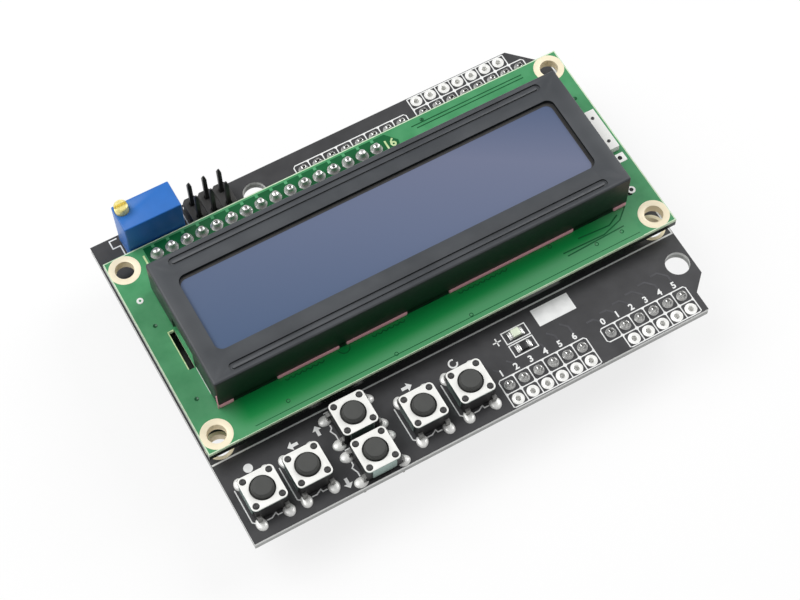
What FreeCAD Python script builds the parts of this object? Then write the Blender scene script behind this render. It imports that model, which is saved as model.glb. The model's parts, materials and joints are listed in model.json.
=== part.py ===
import FreeCAD, Part
import math
import os
import Sketcher

# Keypad and display board: a plug-in circuit board that carries a two-line
# liquid crystal display on a board of its own, six push buttons, a multi-turn
# trimmer for the contrast, and pin rows below that plug into the board under it.
# Frame: +X along the display, +Y from the buttons to the trimmer, +Z up.
# The origin is under the middle of the board, level with the pin tips.

SIZES = (
    # Carrier board
    ("board_length", 80.0),
    ("board_depth", 55.8),
    ("board_thickness", 1.6),
    ("corner_cut", 5.5),
    ("notch_width", 2.54),
    ("notch_depth", 3.25),
    ("mount_hole_radius", 1.95),
    ("right_hole_x", 37.64),
    ("right_hole_y", -18.98),
    ("left_hole_x", -13.16),
    # Pin rows
    ("pin_pitch", 2.54),
    ("pin_width", 0.64),
    ("pin_tip", 0.15),
    ("pin_below", 6.0),
    ("pin_stub", 1.4),
    ("strip_height", 2.54),
    ("strip_bevel", 0.45),
    ("pad_hole_radius", 0.5),
    ("front_row_y", -24.06),
    ("back_row_y", 24.2),
    ("power_row_x", 4.62),
    ("analog_row_x", 22.4),
    ("low_row_x", 17.32),
    ("high_row_x", -4.52),
    ("power_pins", 6),
    ("analog_pins", 6),
    ("low_pins", 8),
    ("high_pins", 8),
    # Two-row header behind the display
    ("block_x", -23.07),
    ("block_y", 23.3),
    ("block_pins", 3),
    ("block_pin_height", 6.0),
    # Display board
    ("display_length", 80.0),
    ("display_depth", 36.0),
    ("display_thickness", 1.6),
    ("display_front_y", -14.1),
    ("display_hole_inset", 2.5),
    ("display_hole_radius", 1.55),
    ("post_hole_radius", 1.8),
    ("tooling_hole_radius", 0.65),
    ("tooling_hole_x", 36.3),
    ("tooling_hole_y", -10.3),
    ("display_pins", 16),
    ("display_row_left", 8.05),
    ("display_row_back", 2.3),
    ("display_pin_above", 1.3),
    # Display frame, folded from sheet
    ("frame_length", 70.25),
    ("frame_depth", 22.65),
    ("frame_height", 7.8),
    ("frame_sheet", 0.6),
    ("frame_x", -0.3),
    ("frame_front", 5.95),
    ("frame_bend", 0.45),
    ("frame_lift", 1.0),
    ("foot_width", 7.0),
    ("foot_spacing", 29.0),
    ("claw_width", 2.0),
    ("claw_fold", 1.5),
    ("claw_clearance", 0.2),
    ("narrow_foot_x", -14.5),
    ("narrow_foot_width", 1.0),
    ("window_length", 63.6),
    ("window_depth", 13.4),
    ("window_x", -0.2),
    ("window_front", 4.65),
    ("groove_width", 1.2),
    ("groove_depth", 0.3),
    ("groove_front", 1.35),
    ("groove_back", 1.65),
    ("latch_length", 7.0),
    ("latch_y", -0.1),
    ("latch_height", 4.2),
    ("latch_slot", 0.9),
    # Glass cell, films, rubber contacts and backlight inside the frame
    ("cell_clearance", 0.1),
    ("glass_thickness", 1.1),
    ("film_thickness", 0.2),
    ("film_margin", 0.8),
    ("contact_width", 1.6),
    ("contact_end", 0.6),
    ("ledge_width", 2.0),
    ("lamp_tab_y", 1.6),
    ("lamp_tab_width", 7.8),
    ("lamp_tab_height", 1.3),
    ("lamp_tab_reach", 4.2),
    ("lamp_board_height", 1.0),
    ("lamp_board_length", 1.2),
    ("blob_radius", 4.5),
    ("blob_height", 1.2),
    ("blob_spacing", 30.0),
    # Small parts on the carrier board
    ("chip_length", 2.0),
    ("chip_width", 1.25),
    ("chip_height", 0.5),
    ("lamp_x", 9.75),
    ("lamp_y", -17.17),
    ("lamp_lens_length", 1.2),
    ("lamp_lens_height", 0.5),
    ("lamp_resistor_y", -19.57),
    ("ladder_x", -30.0),
    ("ladder_y", -9.0),
    ("ladder_pitch", 3.2),
    ("ladder_count", 5),
    ("transistor_x", 28.0),
    ("transistor_y", -9.0),
    ("transistor_length", 2.9),
    ("transistor_width", 1.3),
    ("transistor_height", 1.0),
    ("transistor_lead_width", 0.4),
    ("transistor_lead_sheet", 0.15),
    ("transistor_lead_x", 0.95),
    ("transistor_reach", 2.4),
    # Trimmer
    ("trimmer_length", 9.53),
    ("trimmer_width", 4.83),
    ("trimmer_height", 10.03),
    ("trimmer_wall", 0.5),
    ("trimmer_top", 1.2),
    ("trimmer_left_x", -35.4),
    ("trimmer_gap", 0.25),
    ("trimmer_foot", 0.38),
    ("trimmer_foot_size", 1.0),
    ("trimmer_floor", 0.8),
    ("screw_inset", 1.27),
    ("screw_head_radius", 1.095),
    ("screw_rise", 1.4),
    ("screw_slot", 0.6),
    ("screw_slot_depth", 0.6),
    ("screw_radius", 0.6),
    ("running_clearance", 0.05),
    ("wiper_length", 4.0),
    ("wiper_height", 1.6),
    ("wiper_clearance", 0.1),
    ("element_thickness", 0.6),
    ("trimmer_lead", 0.5),
    ("trimmer_lead_below", 1.5),
    # Push buttons
    ("key_size", 5.8),
    ("key_base_height", 3.2),
    ("key_sheet", 0.3),
    ("key_corner", 0.5),
    ("key_well", 4.0),
    ("key_floor", 1.0),
    ("key_wing_width", 3.2),
    ("key_wing_bottom", 0.9),
    ("key_cap_radius", 1.75),
    ("key_cap_top", 4.3),
    ("key_cap_gap", 0.2),
    ("key_flange", 3.8),
    ("key_flange_height", 0.75),
    ("key_flange_gap", 0.03),
    ("key_nib", 1.2),
    ("dome_length", 3.8),
    ("dome_width", 2.4),
    ("dome_crown", 1.6),
    ("dome_sheet", 0.1),
    ("dome_rise", 0.5),
    ("leg_width", 0.7),
    ("leg_sheet", 0.3),
    ("leg_height", 1.7),
    ("leg_spread", 6.5),
    ("leg_pitch", 4.5),
    ("leg_below", 1.9),
    ("key_row_y", -22.0),
    ("select_x", -35.45),
    ("left_x", -28.13),
    ("cross_x", -18.47),
    ("up_y", -18.0),
    ("down_y", -24.7),
    ("right_x", -8.95),
    ("reset_x", -1.0),
)

doc = FreeCAD.newDocument("keypad_display_board")
sheet = doc.addObject("Spreadsheet::Sheet", "Sizes")
for row, (name, number) in enumerate(SIZES, start=1):
    sheet.set("A%d" % row, name)
    sheet.set("B%d" % row, str(number))
    sheet.setAlias("B%d" % row, name)
doc.recompute()

UP = FreeCAD.Vector(0, 0, 1)
PARTS = []

# Each push button: its name, the X and Y of its middle, and whether it is
# turned a quarter so that its legs point left and right
KEYS = (
    ("select", "Sizes.select_x", "Sizes.key_row_y", False),
    ("left", "Sizes.left_x", "Sizes.key_row_y", False),
    ("up", "Sizes.cross_x", "Sizes.up_y", True),
    ("down", "Sizes.cross_x", "Sizes.down_y", True),
    ("right", "Sizes.right_x", "Sizes.key_row_y", False),
    ("reset", "Sizes.reset_x", "Sizes.key_row_y", False),
)

# Levels and lines that several pieces share, as expressions of the sizes
BOARD_BOTTOM = "(Sizes.pin_below + Sizes.strip_height)"
BOARD_TOP = "(%s + Sizes.board_thickness)" % BOARD_BOTTOM
DISPLAY_BOTTOM = "(%s + Sizes.strip_height)" % BOARD_TOP
DISPLAY_TOP = "(%s + Sizes.display_thickness)" % DISPLAY_BOTTOM
DISPLAY_MIDDLE_Y = "(Sizes.display_front_y + Sizes.display_depth / 2)"
DISPLAY_BACK_Y = "(Sizes.display_front_y + Sizes.display_depth)"
DISPLAY_ROW_X = "(Sizes.display_row_left - Sizes.display_length / 2)"
DISPLAY_ROW_Y = "(%s - Sizes.display_row_back)" % DISPLAY_BACK_Y
DISPLAY_HOLE_X = "(Sizes.display_length / 2 - Sizes.display_hole_inset)"
DISPLAY_HOLE_Y = "(Sizes.display_depth / 2 - Sizes.display_hole_inset)"
FRAME_Y = "(Sizes.display_front_y + Sizes.frame_front + Sizes.frame_depth / 2)"
CELL_LENGTH = "(Sizes.frame_length - 2 * Sizes.frame_sheet - 2 * Sizes.cell_clearance)"
CELL_DEPTH = "(Sizes.frame_depth - 2 * Sizes.frame_sheet - 2 * Sizes.cell_clearance)"
GUIDE_HEIGHT = ("(Sizes.frame_height - Sizes.frame_sheet - 2 * Sizes.glass_thickness"
                " - 2 * Sizes.film_thickness)")
TRIMMER_Y = "(%s + Sizes.trimmer_gap)" % DISPLAY_BACK_Y
TRIMMER_INSIDE = ("(Sizes.trimmer_height - Sizes.trimmer_foot - Sizes.trimmer_top"
                  " - Sizes.trimmer_floor)")
SCREW_Y = "(%s + Sizes.trimmer_width - Sizes.screw_inset)" % TRIMMER_Y
SCREW_X = "(Sizes.trimmer_left_x + Sizes.screw_inset)"


def size(expression):
    """The present value of an expression of the sizes."""
    return float(sheet.evalExpression(expression))


def place(thing, x="0", y="0", z="0", turn=0):
    """Tie an object's place to the sizes, after an optional turn about +Z."""
    rotation = FreeCAD.Rotation(UP, turn)
    thing.Placement = FreeCAD.Placement(FreeCAD.Vector(), rotation)
    for axis, expression in zip("xyz", (x, y, z)):
        thing.setExpression(".Placement.Base." + axis, expression)


def new_body(label, x="0", y="0", z="0", turn=0):
    """A named piece that is made by sketches and features."""
    body = doc.addObject("PartDesign::Body", label)
    body.Label = label
    body.AllowCompound = True
    place(body, x, y, z, turn)
    PARTS.append(body)
    return body


def keep(piece, label):
    """Name a primitive or boolean result as one of the pieces."""
    piece.Label = label
    PARTS.append(piece)
    return piece


def box(name, length, width, height, x="0", y="0", z="0"):
    """A box whose X and Y are measured from its middle and Z from its foot."""
    solid = doc.addObject("Part::Box", name)
    solid.setExpression("Length", length)
    solid.setExpression("Width", width)
    solid.setExpression("Height", height)
    place(solid, "%s - (%s) / 2" % (x, length), "%s - (%s) / 2" % (y, width), z)
    return solid


def new_sketch(body, name, role="XY_Plane", level="0"):
    """A sketch on one of the body's own planes, shifted along its normal."""
    sketch = body.newObject("Sketcher::SketchObject", body.Name + "_" + name)
    plane = [p for p in body.Origin.OriginFeatures if p.Role == role][0]
    sketch.AttachmentSupport = [(plane, "")]
    sketch.MapMode = "FlatFace"
    sketch.setExpression(".AttachmentOffset.Base.z", level)
    return sketch


def dimension(sketch, kind, geometry, point, expression):
    """One driving dimension of a sketch, tied to the sizes."""
    number = size(expression)
    if point is None:
        constraint = Sketcher.Constraint(kind, geometry, number)
    else:
        constraint = Sketcher.Constraint(kind, geometry, point, number)
    index = sketch.addConstraint(constraint)
    sketch.setExpression("Constraints[%d]" % index, expression)


def outline(sketch, corners):
    """A closed outline through corners given as pairs of expressions."""
    first = sketch.GeometryCount
    points = [FreeCAD.Vector(size(x), size(y), 0) for x, y in corners]
    count = len(points)
    for number in range(count):
        following = points[(number + 1) % count]
        sketch.addGeometry(Part.LineSegment(points[number], following))
    for number in range(count):
        following = first + (number + 1) % count
        link = Sketcher.Constraint("Coincident", first + number, 2, following, 1)
        sketch.addConstraint(link)
    for number, (x, y) in enumerate(corners):
        dimension(sketch, "DistanceX", first + number, 1, x)
        dimension(sketch, "DistanceY", first + number, 1, y)


def rectangle(sketch, length, width, x="0", y="0"):
    """A rectangle about its middle."""
    left = "%s - (%s) / 2" % (x, length)
    right = "%s + (%s) / 2" % (x, length)
    front = "%s - (%s) / 2" % (y, width)
    back = "%s + (%s) / 2" % (y, width)
    outline(sketch, ((left, front), (right, front), (right, back), (left, back)))


def circle(sketch, radius, x="0", y="0"):
    """A circle about a point."""
    centre = FreeCAD.Vector(size(x), size(y), 0)
    index = sketch.addGeometry(Part.Circle(centre, UP, size(radius)))
    dimension(sketch, "DistanceX", index, 3, x)
    dimension(sketch, "DistanceY", index, 3, y)
    dimension(sketch, "Radius", index, None, radius)


def oblong(sketch, length, width, x="0", y="0"):
    """A slot outline with round ends, about its middle."""
    radius = "((%s) / 2)" % width
    left = "%s - (%s) / 2 + %s" % (x, length, radius)
    right = "%s + (%s) / 2 - %s" % (x, length, radius)
    start, stop, middle, r = size(left), size(right), size(y), size(radius)
    first = sketch.GeometryCount
    for near, far, side in ((start, stop, -r), (stop, start, r)):
        ends = FreeCAD.Vector(near, middle + side, 0), FreeCAD.Vector(far, middle + side, 0)
        sketch.addGeometry(Part.LineSegment(*ends))
        centre = FreeCAD.Vector(far, middle, 0)
        opening = -math.pi / 2 if side < 0 else math.pi / 2
        ring = Part.Circle(centre, UP, r)
        sketch.addGeometry(Part.ArcOfCircle(ring, opening, opening + math.pi))
    for number in range(4):
        following = first + (number + 1) % 4
        sketch.addConstraint(Sketcher.Constraint("Tangent", first + number, 2, following, 1))
    sketch.addConstraint(Sketcher.Constraint("Equal", first + 1, first + 3))
    for index, x_middle in ((first + 1, right), (first + 3, left)):
        dimension(sketch, "DistanceX", index, 3, x_middle)
        dimension(sketch, "DistanceY", index, 3, y)
    dimension(sketch, "Radius", first + 1, None, radius)


def pad(body, sketch, length, reverse=False):
    """Thicken a sketch by a length."""
    feature = body.newObject("PartDesign::Pad", sketch.Name + "_pad")
    feature.Profile = sketch
    feature.Reversed = reverse
    feature.setExpression("Length", length)
    body.Tip = feature
    return feature


def cut(body, sketch, length=None, upward=False):
    """Cut a sketch down, or up, by a length, or right through both ways."""
    feature = body.newObject("PartDesign::Pocket", sketch.Name + "_cut")
    feature.Profile = sketch
    feature.Reversed = upward
    if length is None:
        feature.Type = "ThroughAll"
        feature.SideType = "Symmetric"
    else:
        feature.setExpression("Length", length)
    body.Tip = feature
    return feature


def edges_where(feature, test):
    """The names of a feature's straight edges whose two ends pass a test."""
    doc.recompute()
    names = []
    for number, edge in enumerate(feature.Shape.Edges, start=1):
        ends = [vertex.Point for vertex in edge.Vertexes]
        if len(ends) == 2 and test(ends[0], ends[1]):
            names.append("Edge%d" % number)
    return names


def dress(body, kind, feature, names, amount):
    """Round or bevel named edges of a feature."""
    result = body.newObject("PartDesign::" + kind, feature.Name + "_" + kind.lower())
    result.Base = (feature, names)
    result.setExpression("Radius" if kind == "Fillet" else "Size", amount)
    body.Tip = result
    return result


def same(first, second):
    """Whether two lengths agree."""
    return abs(first - second) < 1e-6


def repeat(body, name, count, pitch):
    """A pattern of the body along its own X axis."""
    pattern = body.newObject("PartDesign::LinearPattern", name)
    axis = [a for a in body.Origin.OriginFeatures if a.Role == "X_Axis"][0]
    pattern.Direction = (axis, [""])
    pattern.Mode = "Spacing"
    pattern.setExpression("Offset", pitch)
    pattern.setExpression("Occurrences", count)
    body.Tip = pattern
    return pattern


def repeat_whole(body, count, pitch):
    """Repeat the whole of a body along X."""
    repeat(body, body.Name + "_row", count, pitch).TransformMode = "Whole shape"


def repeat_cut(body, feature, count, pitch):
    """Repeat one cut along X."""
    repeat(body, feature.Name + "_row", count, pitch).Originals = [feature]


def carrier_board():
    """The main board with its cut corner, notch, fixing holes and pin holes."""
    body = new_body("carrier_board", z=BOARD_BOTTOM)
    side = "(Sizes.board_length / 2)"
    end = "(Sizes.board_depth / 2)"
    corners = (
        ("-" + side, "-" + end),
        (side + " - Sizes.notch_width", "-" + end),
        (side + " - Sizes.notch_width", "Sizes.notch_depth - " + end),
        (side, "Sizes.notch_depth + Sizes.notch_width - " + end),
        (side, end + " - Sizes.corner_cut"),
        (side + " - Sizes.corner_cut", end),
        ("-" + side, end),
    )
    face = new_sketch(body, "outline")
    outline(face, corners)
    pad(body, face, "Sizes.board_thickness")
    fixing = new_sketch(body, "fixing")
    circle(fixing, "Sizes.mount_hole_radius", "Sizes.right_hole_x", "Sizes.right_hole_y")
    circle(fixing, "Sizes.mount_hole_radius", "Sizes.left_hole_x", "Sizes.back_row_y")
    for sign in "-+":
        x = "%s1 * %s" % (sign, DISPLAY_HOLE_X)
        y = "%s - %s" % (DISPLAY_MIDDLE_Y, DISPLAY_HOLE_Y)
        circle(fixing, "Sizes.post_hole_radius", x, y)
    cut(body, fixing)
    for number, (first, count, y) in enumerate(spare_rows(), start=1):
        spare = new_sketch(body, "spare_%d" % number)
        circle(spare, "Sizes.pad_hole_radius", first, y)
        repeat_cut(body, cut(body, spare), count, "Sizes.pin_pitch")
    leads = new_sketch(body, "trimmer_leads")
    first = "%s - Sizes.pin_pitch" % trimmer_middle()
    rectangle(leads, "Sizes.trimmer_lead", "Sizes.trimmer_lead", first, trimmer_lead_y())
    repeat_cut(body, cut(body, leads), "3", "Sizes.pin_pitch")
    rows = plug_rows() + (
        (DISPLAY_ROW_X, "Sizes.display_pins", DISPLAY_ROW_Y),
        ("Sizes.block_x", "Sizes.block_pins", "Sizes.block_y"),
        ("Sizes.block_x", "Sizes.block_pins", "Sizes.block_y + Sizes.pin_pitch"),
    )
    for number, (first, count, y) in enumerate(rows, start=1):
        pin_hole_row(body, "pin_%d" % number, first, count, y)
    for label, x, y, turned in KEYS:
        slots = new_sketch(body, label + "_legs")
        for across, along in leg_places():
            middle_x, middle_y = (along, across) if turned else (across, along)
            length, width = "Sizes.leg_width", "Sizes.leg_sheet"
            if turned:
                length, width = width, length
            rectangle(slots, length, width, "%s + %s" % (x, middle_x), "%s + %s" % (y, middle_y))
        cut(body, slots)


def pin_hole_row(body, name, first, count, y):
    """A row of holes that pins fill, cut right through a board."""
    hole = new_sketch(body, name)
    rectangle(hole, "Sizes.pin_width", "Sizes.pin_width", first, y)
    repeat_cut(body, cut(body, hole), count, "Sizes.pin_pitch")


def plug_rows():
    """First X, pin count and Y of each row of pins that plugs in below."""
    return (
        ("Sizes.power_row_x", "Sizes.power_pins", "Sizes.front_row_y"),
        ("Sizes.analog_row_x", "Sizes.analog_pins", "Sizes.front_row_y"),
        ("Sizes.low_row_x", "Sizes.low_pins", "Sizes.back_row_y"),
        ("Sizes.high_row_x", "Sizes.high_pins", "Sizes.back_row_y"),
    )


def spare_rows():
    """The bare pads one pitch outside three of the plug rows."""
    front = "Sizes.front_row_y - Sizes.pin_pitch"
    back = "Sizes.back_row_y + Sizes.pin_pitch"
    return (
        ("Sizes.power_row_x", "Sizes.power_pins", front),
        ("Sizes.analog_row_x + Sizes.pin_pitch", "Sizes.analog_pins - 1", front),
        ("Sizes.low_row_x", "Sizes.low_pins - 1", back),
    )


def leg_places():
    """The four feet of a push button's legs: across the legs' row, then along."""
    half_pitch = "(Sizes.leg_pitch / 2)"
    half_spread = "(Sizes.leg_spread / 2)"
    signs = ((-1, -1), (1, -1), (-1, 1), (1, 1))
    return [("%d * %s" % (a, half_pitch), "%d * %s" % (b, half_spread)) for a, b in signs]


def pin_strip(label, first, count, y, z, rows=1):
    """A moulded strip: bevelled cells in a row, each with a square pin hole."""
    body = new_body(label, first, y, z)
    half = "(Sizes.pin_pitch / 2)"
    bevel = "(Sizes.pin_pitch / 2 - Sizes.strip_bevel)"
    back = "(Sizes.pin_pitch * %d - Sizes.pin_pitch / 2)" % rows
    inner = "(%s - Sizes.strip_bevel)" % back
    corners = (
        ("-" + half, "-" + bevel), ("-" + bevel, "-" + half), (bevel, "-" + half),
        (half, "-" + bevel), (half, inner), (bevel, back), ("-" + bevel, back),
        ("-" + half, inner),
    )
    cell = new_sketch(body, "cell")
    outline(cell, corners)
    for number in range(rows):
        row_y = "%d * Sizes.pin_pitch" % number
        rectangle(cell, "Sizes.pin_width", "Sizes.pin_width", "0", row_y)
    pad(body, cell, "Sizes.strip_height")
    repeat_whole(body, count, "Sizes.pin_pitch")


def pin_row(label, first, count, y, bottom, top, tip=None, rows=1):
    """Square pins from one level to another, with the free end bevelled."""
    body = new_body(label, first, y, bottom)
    section = new_sketch(body, "section")
    for number in range(rows):
        row_y = "%d * Sizes.pin_pitch" % number
        rectangle(section, "Sizes.pin_width", "Sizes.pin_width", "0", row_y)
    length = "%s - (%s)" % (top, bottom)
    shank = pad(body, section, length)
    if tip is not None:
        level = size("%s - (%s)" % (tip, bottom))

        def at_the_tip(start, end):
            return same(start.z, level) and same(end.z, level)

        dress(body, "Chamfer", shank, edges_where(shank, at_the_tip), "Sizes.pin_tip")
    repeat_whole(body, count, "Sizes.pin_pitch")


def plug_pins():
    """The four rows that plug into the board below, strips under the board."""
    names = ("power", "analog", "low", "high")
    for name, (first, count, y) in zip(names, plug_rows()):
        pin_strip(name + "_pin_strip", first, count, y, "Sizes.pin_below")
        top = "%s + Sizes.pin_stub" % BOARD_TOP
        pin_row(name + "_pins", first, count, y, "0", top, tip="0")


def display_header():
    """The row of pins that joins the two boards, through one plain strip."""
    first, count, y = DISPLAY_ROW_X, "Sizes.display_pins", DISPLAY_ROW_Y
    strip = new_body("display_pin_strip", first, y, BOARD_TOP)
    face = new_sketch(strip, "outline")
    length = "(%s * Sizes.pin_pitch)" % count
    rectangle(face, length, "Sizes.pin_pitch", "(%s - Sizes.pin_pitch) / 2" % length)
    pad(strip, face, "Sizes.strip_height")
    pin_hole_row(strip, "pins", "0", count, "0")
    bottom = "%s - Sizes.pin_stub" % BOARD_BOTTOM
    top = "%s + Sizes.display_pin_above" % DISPLAY_TOP
    pin_row("display_pins", first, count, y, bottom, top)


def block_header():
    """The two-row header behind the display, pins up."""
    first, count, y = "Sizes.block_x", "Sizes.block_pins", "Sizes.block_y"
    pin_strip("block_pin_strip", first, count, y, BOARD_TOP, rows=2)
    bottom = "%s - Sizes.pin_stub" % BOARD_BOTTOM
    top = "%s + Sizes.strip_height + Sizes.block_pin_height" % BOARD_TOP
    pin_row("block_pins", first, count, y, bottom, top, tip=top, rows=2)


def claw_places():
    """X of each claw, as an expression in the display frame's own frame."""
    return ("-1 * Sizes.foot_spacing", "0", "Sizes.foot_spacing")


def display_board():
    """The display's own board with its corner holes and claw slots."""
    body = new_body("display_board", "0", DISPLAY_MIDDLE_Y, DISPLAY_BOTTOM)
    face = new_sketch(body, "outline")
    rectangle(face, "Sizes.display_length", "Sizes.display_depth")
    pad(body, face, "Sizes.display_thickness")
    holes = new_sketch(body, "corner_holes")
    for side in (-1, 1):
        for end in (-1, 1):
            x = "%d * %s" % (side, DISPLAY_HOLE_X)
            y = "%d * %s" % (end, DISPLAY_HOLE_Y)
            circle(holes, "Sizes.display_hole_radius", x, y)
    circle(holes, "Sizes.tooling_hole_radius", "Sizes.tooling_hole_x", "Sizes.tooling_hole_y")
    cut(body, holes)
    row_y = "%s - %s" % (DISPLAY_ROW_Y, DISPLAY_MIDDLE_Y)
    pin_hole_row(body, "pins", DISPLAY_ROW_X, "Sizes.display_pins", row_y)
    slots = new_sketch(body, "slots")
    middle = "(%s - %s)" % (FRAME_Y, DISPLAY_MIDDLE_Y)
    for x in claw_places():
        for sign in (-1, 1):
            wall = "(Sizes.frame_depth / 2 - Sizes.frame_sheet / 2)"
            length = "Sizes.claw_width + Sizes.claw_clearance"
            width = "Sizes.frame_sheet + Sizes.claw_clearance"
            slot_x = "Sizes.frame_x + %s" % x
            slot_y = "%s + %d * %s" % (middle, sign, wall)
            rectangle(slots, length, width, slot_x, slot_y)
    latch_x = "Sizes.frame_x - Sizes.frame_length / 2 - Sizes.latch_slot / 2"
    latch_y = "%s + Sizes.latch_y" % middle
    rectangle(slots, "Sizes.latch_slot", "Sizes.latch_length", latch_x, latch_y)
    cut(body, slots)


def display_frame():
    """The folded sheet frame: window, pressed grooves, feet and folded claws."""
    body = new_body("display_frame", "Sizes.frame_x", FRAME_Y, DISPLAY_TOP)
    skirt = new_sketch(body, "skirt", level="Sizes.frame_lift")
    rectangle(skirt, "Sizes.frame_length", "Sizes.frame_depth")
    shell = pad(body, skirt, "Sizes.frame_height - Sizes.frame_lift")
    top = size("Sizes.frame_height")

    def outer_bend(start, end):
        return same(start.z, top) and same(end.z, top)

    names = edges_where(shell, outer_bend)
    dress(body, "Fillet", shell, names, "Sizes.frame_bend")
    hollow = new_sketch(body, "hollow", level="Sizes.frame_lift")
    inside_length = "Sizes.frame_length - 2 * Sizes.frame_sheet"
    inside_depth = "Sizes.frame_depth - 2 * Sizes.frame_sheet"
    rectangle(hollow, inside_length, inside_depth)
    inside_height = "Sizes.frame_height - Sizes.frame_lift - Sizes.frame_sheet"
    cut(body, hollow, inside_height, upward=True)
    window = new_sketch(body, "window", level="Sizes.frame_height")
    window_y = "Sizes.window_front + (Sizes.window_depth - Sizes.frame_depth) / 2"
    rectangle(window, "Sizes.window_length", "Sizes.window_depth", "Sizes.window_x", window_y)
    cut(body, window, "Sizes.frame_sheet")
    front = "Sizes.groove_front - Sizes.frame_depth / 2"
    back = "Sizes.frame_depth / 2 - Sizes.groove_back"
    for name, y in (("front_groove", front), ("back_groove", back)):
        groove = new_sketch(body, name, level="Sizes.frame_height")
        oblong(groove, "Sizes.window_length", "Sizes.groove_width", "Sizes.window_x", y)
        cut(body, groove, "Sizes.groove_depth")
    latch = new_sketch(body, "latch_opening")
    wall_x = "(Sizes.frame_length / 2 - Sizes.frame_sheet / 2)"
    rectangle(latch, "Sizes.frame_sheet", "Sizes.latch_length", "-1 * " + wall_x, "Sizes.latch_y")
    cut(body, latch, "Sizes.latch_height", upward=True)
    lamp = new_sketch(body, "lamp_opening")
    opening = "Sizes.lamp_tab_width + 2 * Sizes.cell_clearance"
    rectangle(lamp, "Sizes.frame_sheet", opening, wall_x, "Sizes.lamp_tab_y")
    cut(body, lamp, "Sizes.lamp_tab_height + Sizes.cell_clearance", upward=True)
    feet = new_sketch(body, "feet")
    for sign in (-1, 1):
        wall = "%d * (Sizes.frame_depth / 2 - Sizes.frame_sheet / 2)" % sign
        for x in claw_places():
            rectangle(feet, "Sizes.foot_width", "Sizes.frame_sheet", x, wall)
    wall = "-1 * (Sizes.frame_depth / 2 - Sizes.frame_sheet / 2)"
    rectangle(feet, "Sizes.narrow_foot_width", "Sizes.frame_sheet", "Sizes.narrow_foot_x", wall)
    pad(body, feet, "Sizes.frame_lift")
    claws = new_sketch(body, "claws")
    for sign in (-1, 1):
        wall = "%d * (Sizes.frame_depth / 2 - Sizes.frame_sheet / 2)" % sign
        for x in claw_places():
            rectangle(claws, "Sizes.claw_width", "Sizes.frame_sheet", x, wall)
    pad(body, claws, "Sizes.display_thickness", reverse=True)
    folds = new_sketch(body, "folds", level="-1 * Sizes.display_thickness")
    for sign in (-1, 1):
        reach = "(Sizes.frame_depth / 2 - Sizes.claw_fold / 2)"
        for x in claw_places():
            rectangle(folds, "Sizes.claw_width", "Sizes.claw_fold", x, "%d * %s" % (sign, reach))
    pad(body, folds, "Sizes.frame_sheet", reverse=True)


def display_cell():
    """The stack inside the frame: backlight, films, glass and rubber contacts."""
    guide = new_body("backlight_guide", "Sizes.frame_x", FRAME_Y, DISPLAY_TOP)
    block = new_sketch(guide, "block")
    depth = "%s - 2 * Sizes.contact_width - 2 * Sizes.cell_clearance" % CELL_DEPTH
    rectangle(block, CELL_LENGTH, depth)
    pad(guide, block, GUIDE_HEIGHT)
    lamp = new_sketch(guide, "lamp_tab")
    reach = "(Sizes.frame_length / 2 + Sizes.lamp_tab_reach)"
    overlap = "(Sizes.frame_sheet + 2 * Sizes.cell_clearance)"
    length = "(Sizes.lamp_tab_reach + %s)" % overlap
    rectangle(lamp, length, "Sizes.lamp_tab_width", "%s - %s / 2" % (reach, length), "Sizes.lamp_tab_y")
    pad(guide, lamp, "Sizes.lamp_tab_height")

    level = "%s + %s" % (DISPLAY_TOP, GUIDE_HEIGHT)
    ledge = "%s - 2 * Sizes.ledge_width" % CELL_DEPTH
    film_length = "%s - 2 * Sizes.film_margin" % CELL_LENGTH
    film_depth = "%s - 2 * Sizes.film_margin" % ledge
    stack = (
        ("rear_film", film_length, film_depth, "Sizes.film_thickness"),
        ("rear_glass", CELL_LENGTH, ledge, "Sizes.glass_thickness"),
        ("front_glass", CELL_LENGTH, CELL_DEPTH, "Sizes.glass_thickness"),
        ("front_film", film_length, film_depth, "Sizes.film_thickness"),
    )
    for label, sheet_length, sheet_depth, thickness in stack:
        name = label + "_sheet"
        keep(box(name, sheet_length, sheet_depth, thickness, "Sizes.frame_x", FRAME_Y, level), label)
        level = "%s + %s" % (level, thickness)

    height = "%s + Sizes.film_thickness + Sizes.glass_thickness" % GUIDE_HEIGHT
    length = "%s - 2 * Sizes.contact_end" % CELL_LENGTH
    for label, sign in (("front_contact_rubber", -1), ("back_contact_rubber", 1)):
        y = "%s + %d * (%s - Sizes.contact_width) / 2" % (FRAME_Y, sign, CELL_DEPTH)
        strip = box(label + "_strip", length, "Sizes.contact_width", height, "Sizes.frame_x", y, DISPLAY_TOP)
        keep(strip, label)


def driver_blobs():
    """The two resin drops over the display's driver chips, under its board."""
    drops = []
    for number, sign in enumerate((-1, 1), start=1):
        drop = doc.addObject("Part::Cylinder", "driver_drop_%d" % number)
        drop.setExpression("Radius", "Sizes.blob_radius")
        drop.setExpression("Height", "Sizes.blob_height")
        x = "%d * Sizes.blob_spacing / 2" % sign
        place(drop, x, DISPLAY_MIDDLE_Y, "%s - Sizes.blob_height" % DISPLAY_BOTTOM)
        drops.append(drop)
    group(drops, "driver_blobs")


def group(pieces, label):
    """Identical small pieces kept together as separate solids."""
    result = doc.addObject("Part::Compound", label + "_group")
    result.Links = pieces
    return keep(result, label)


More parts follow.
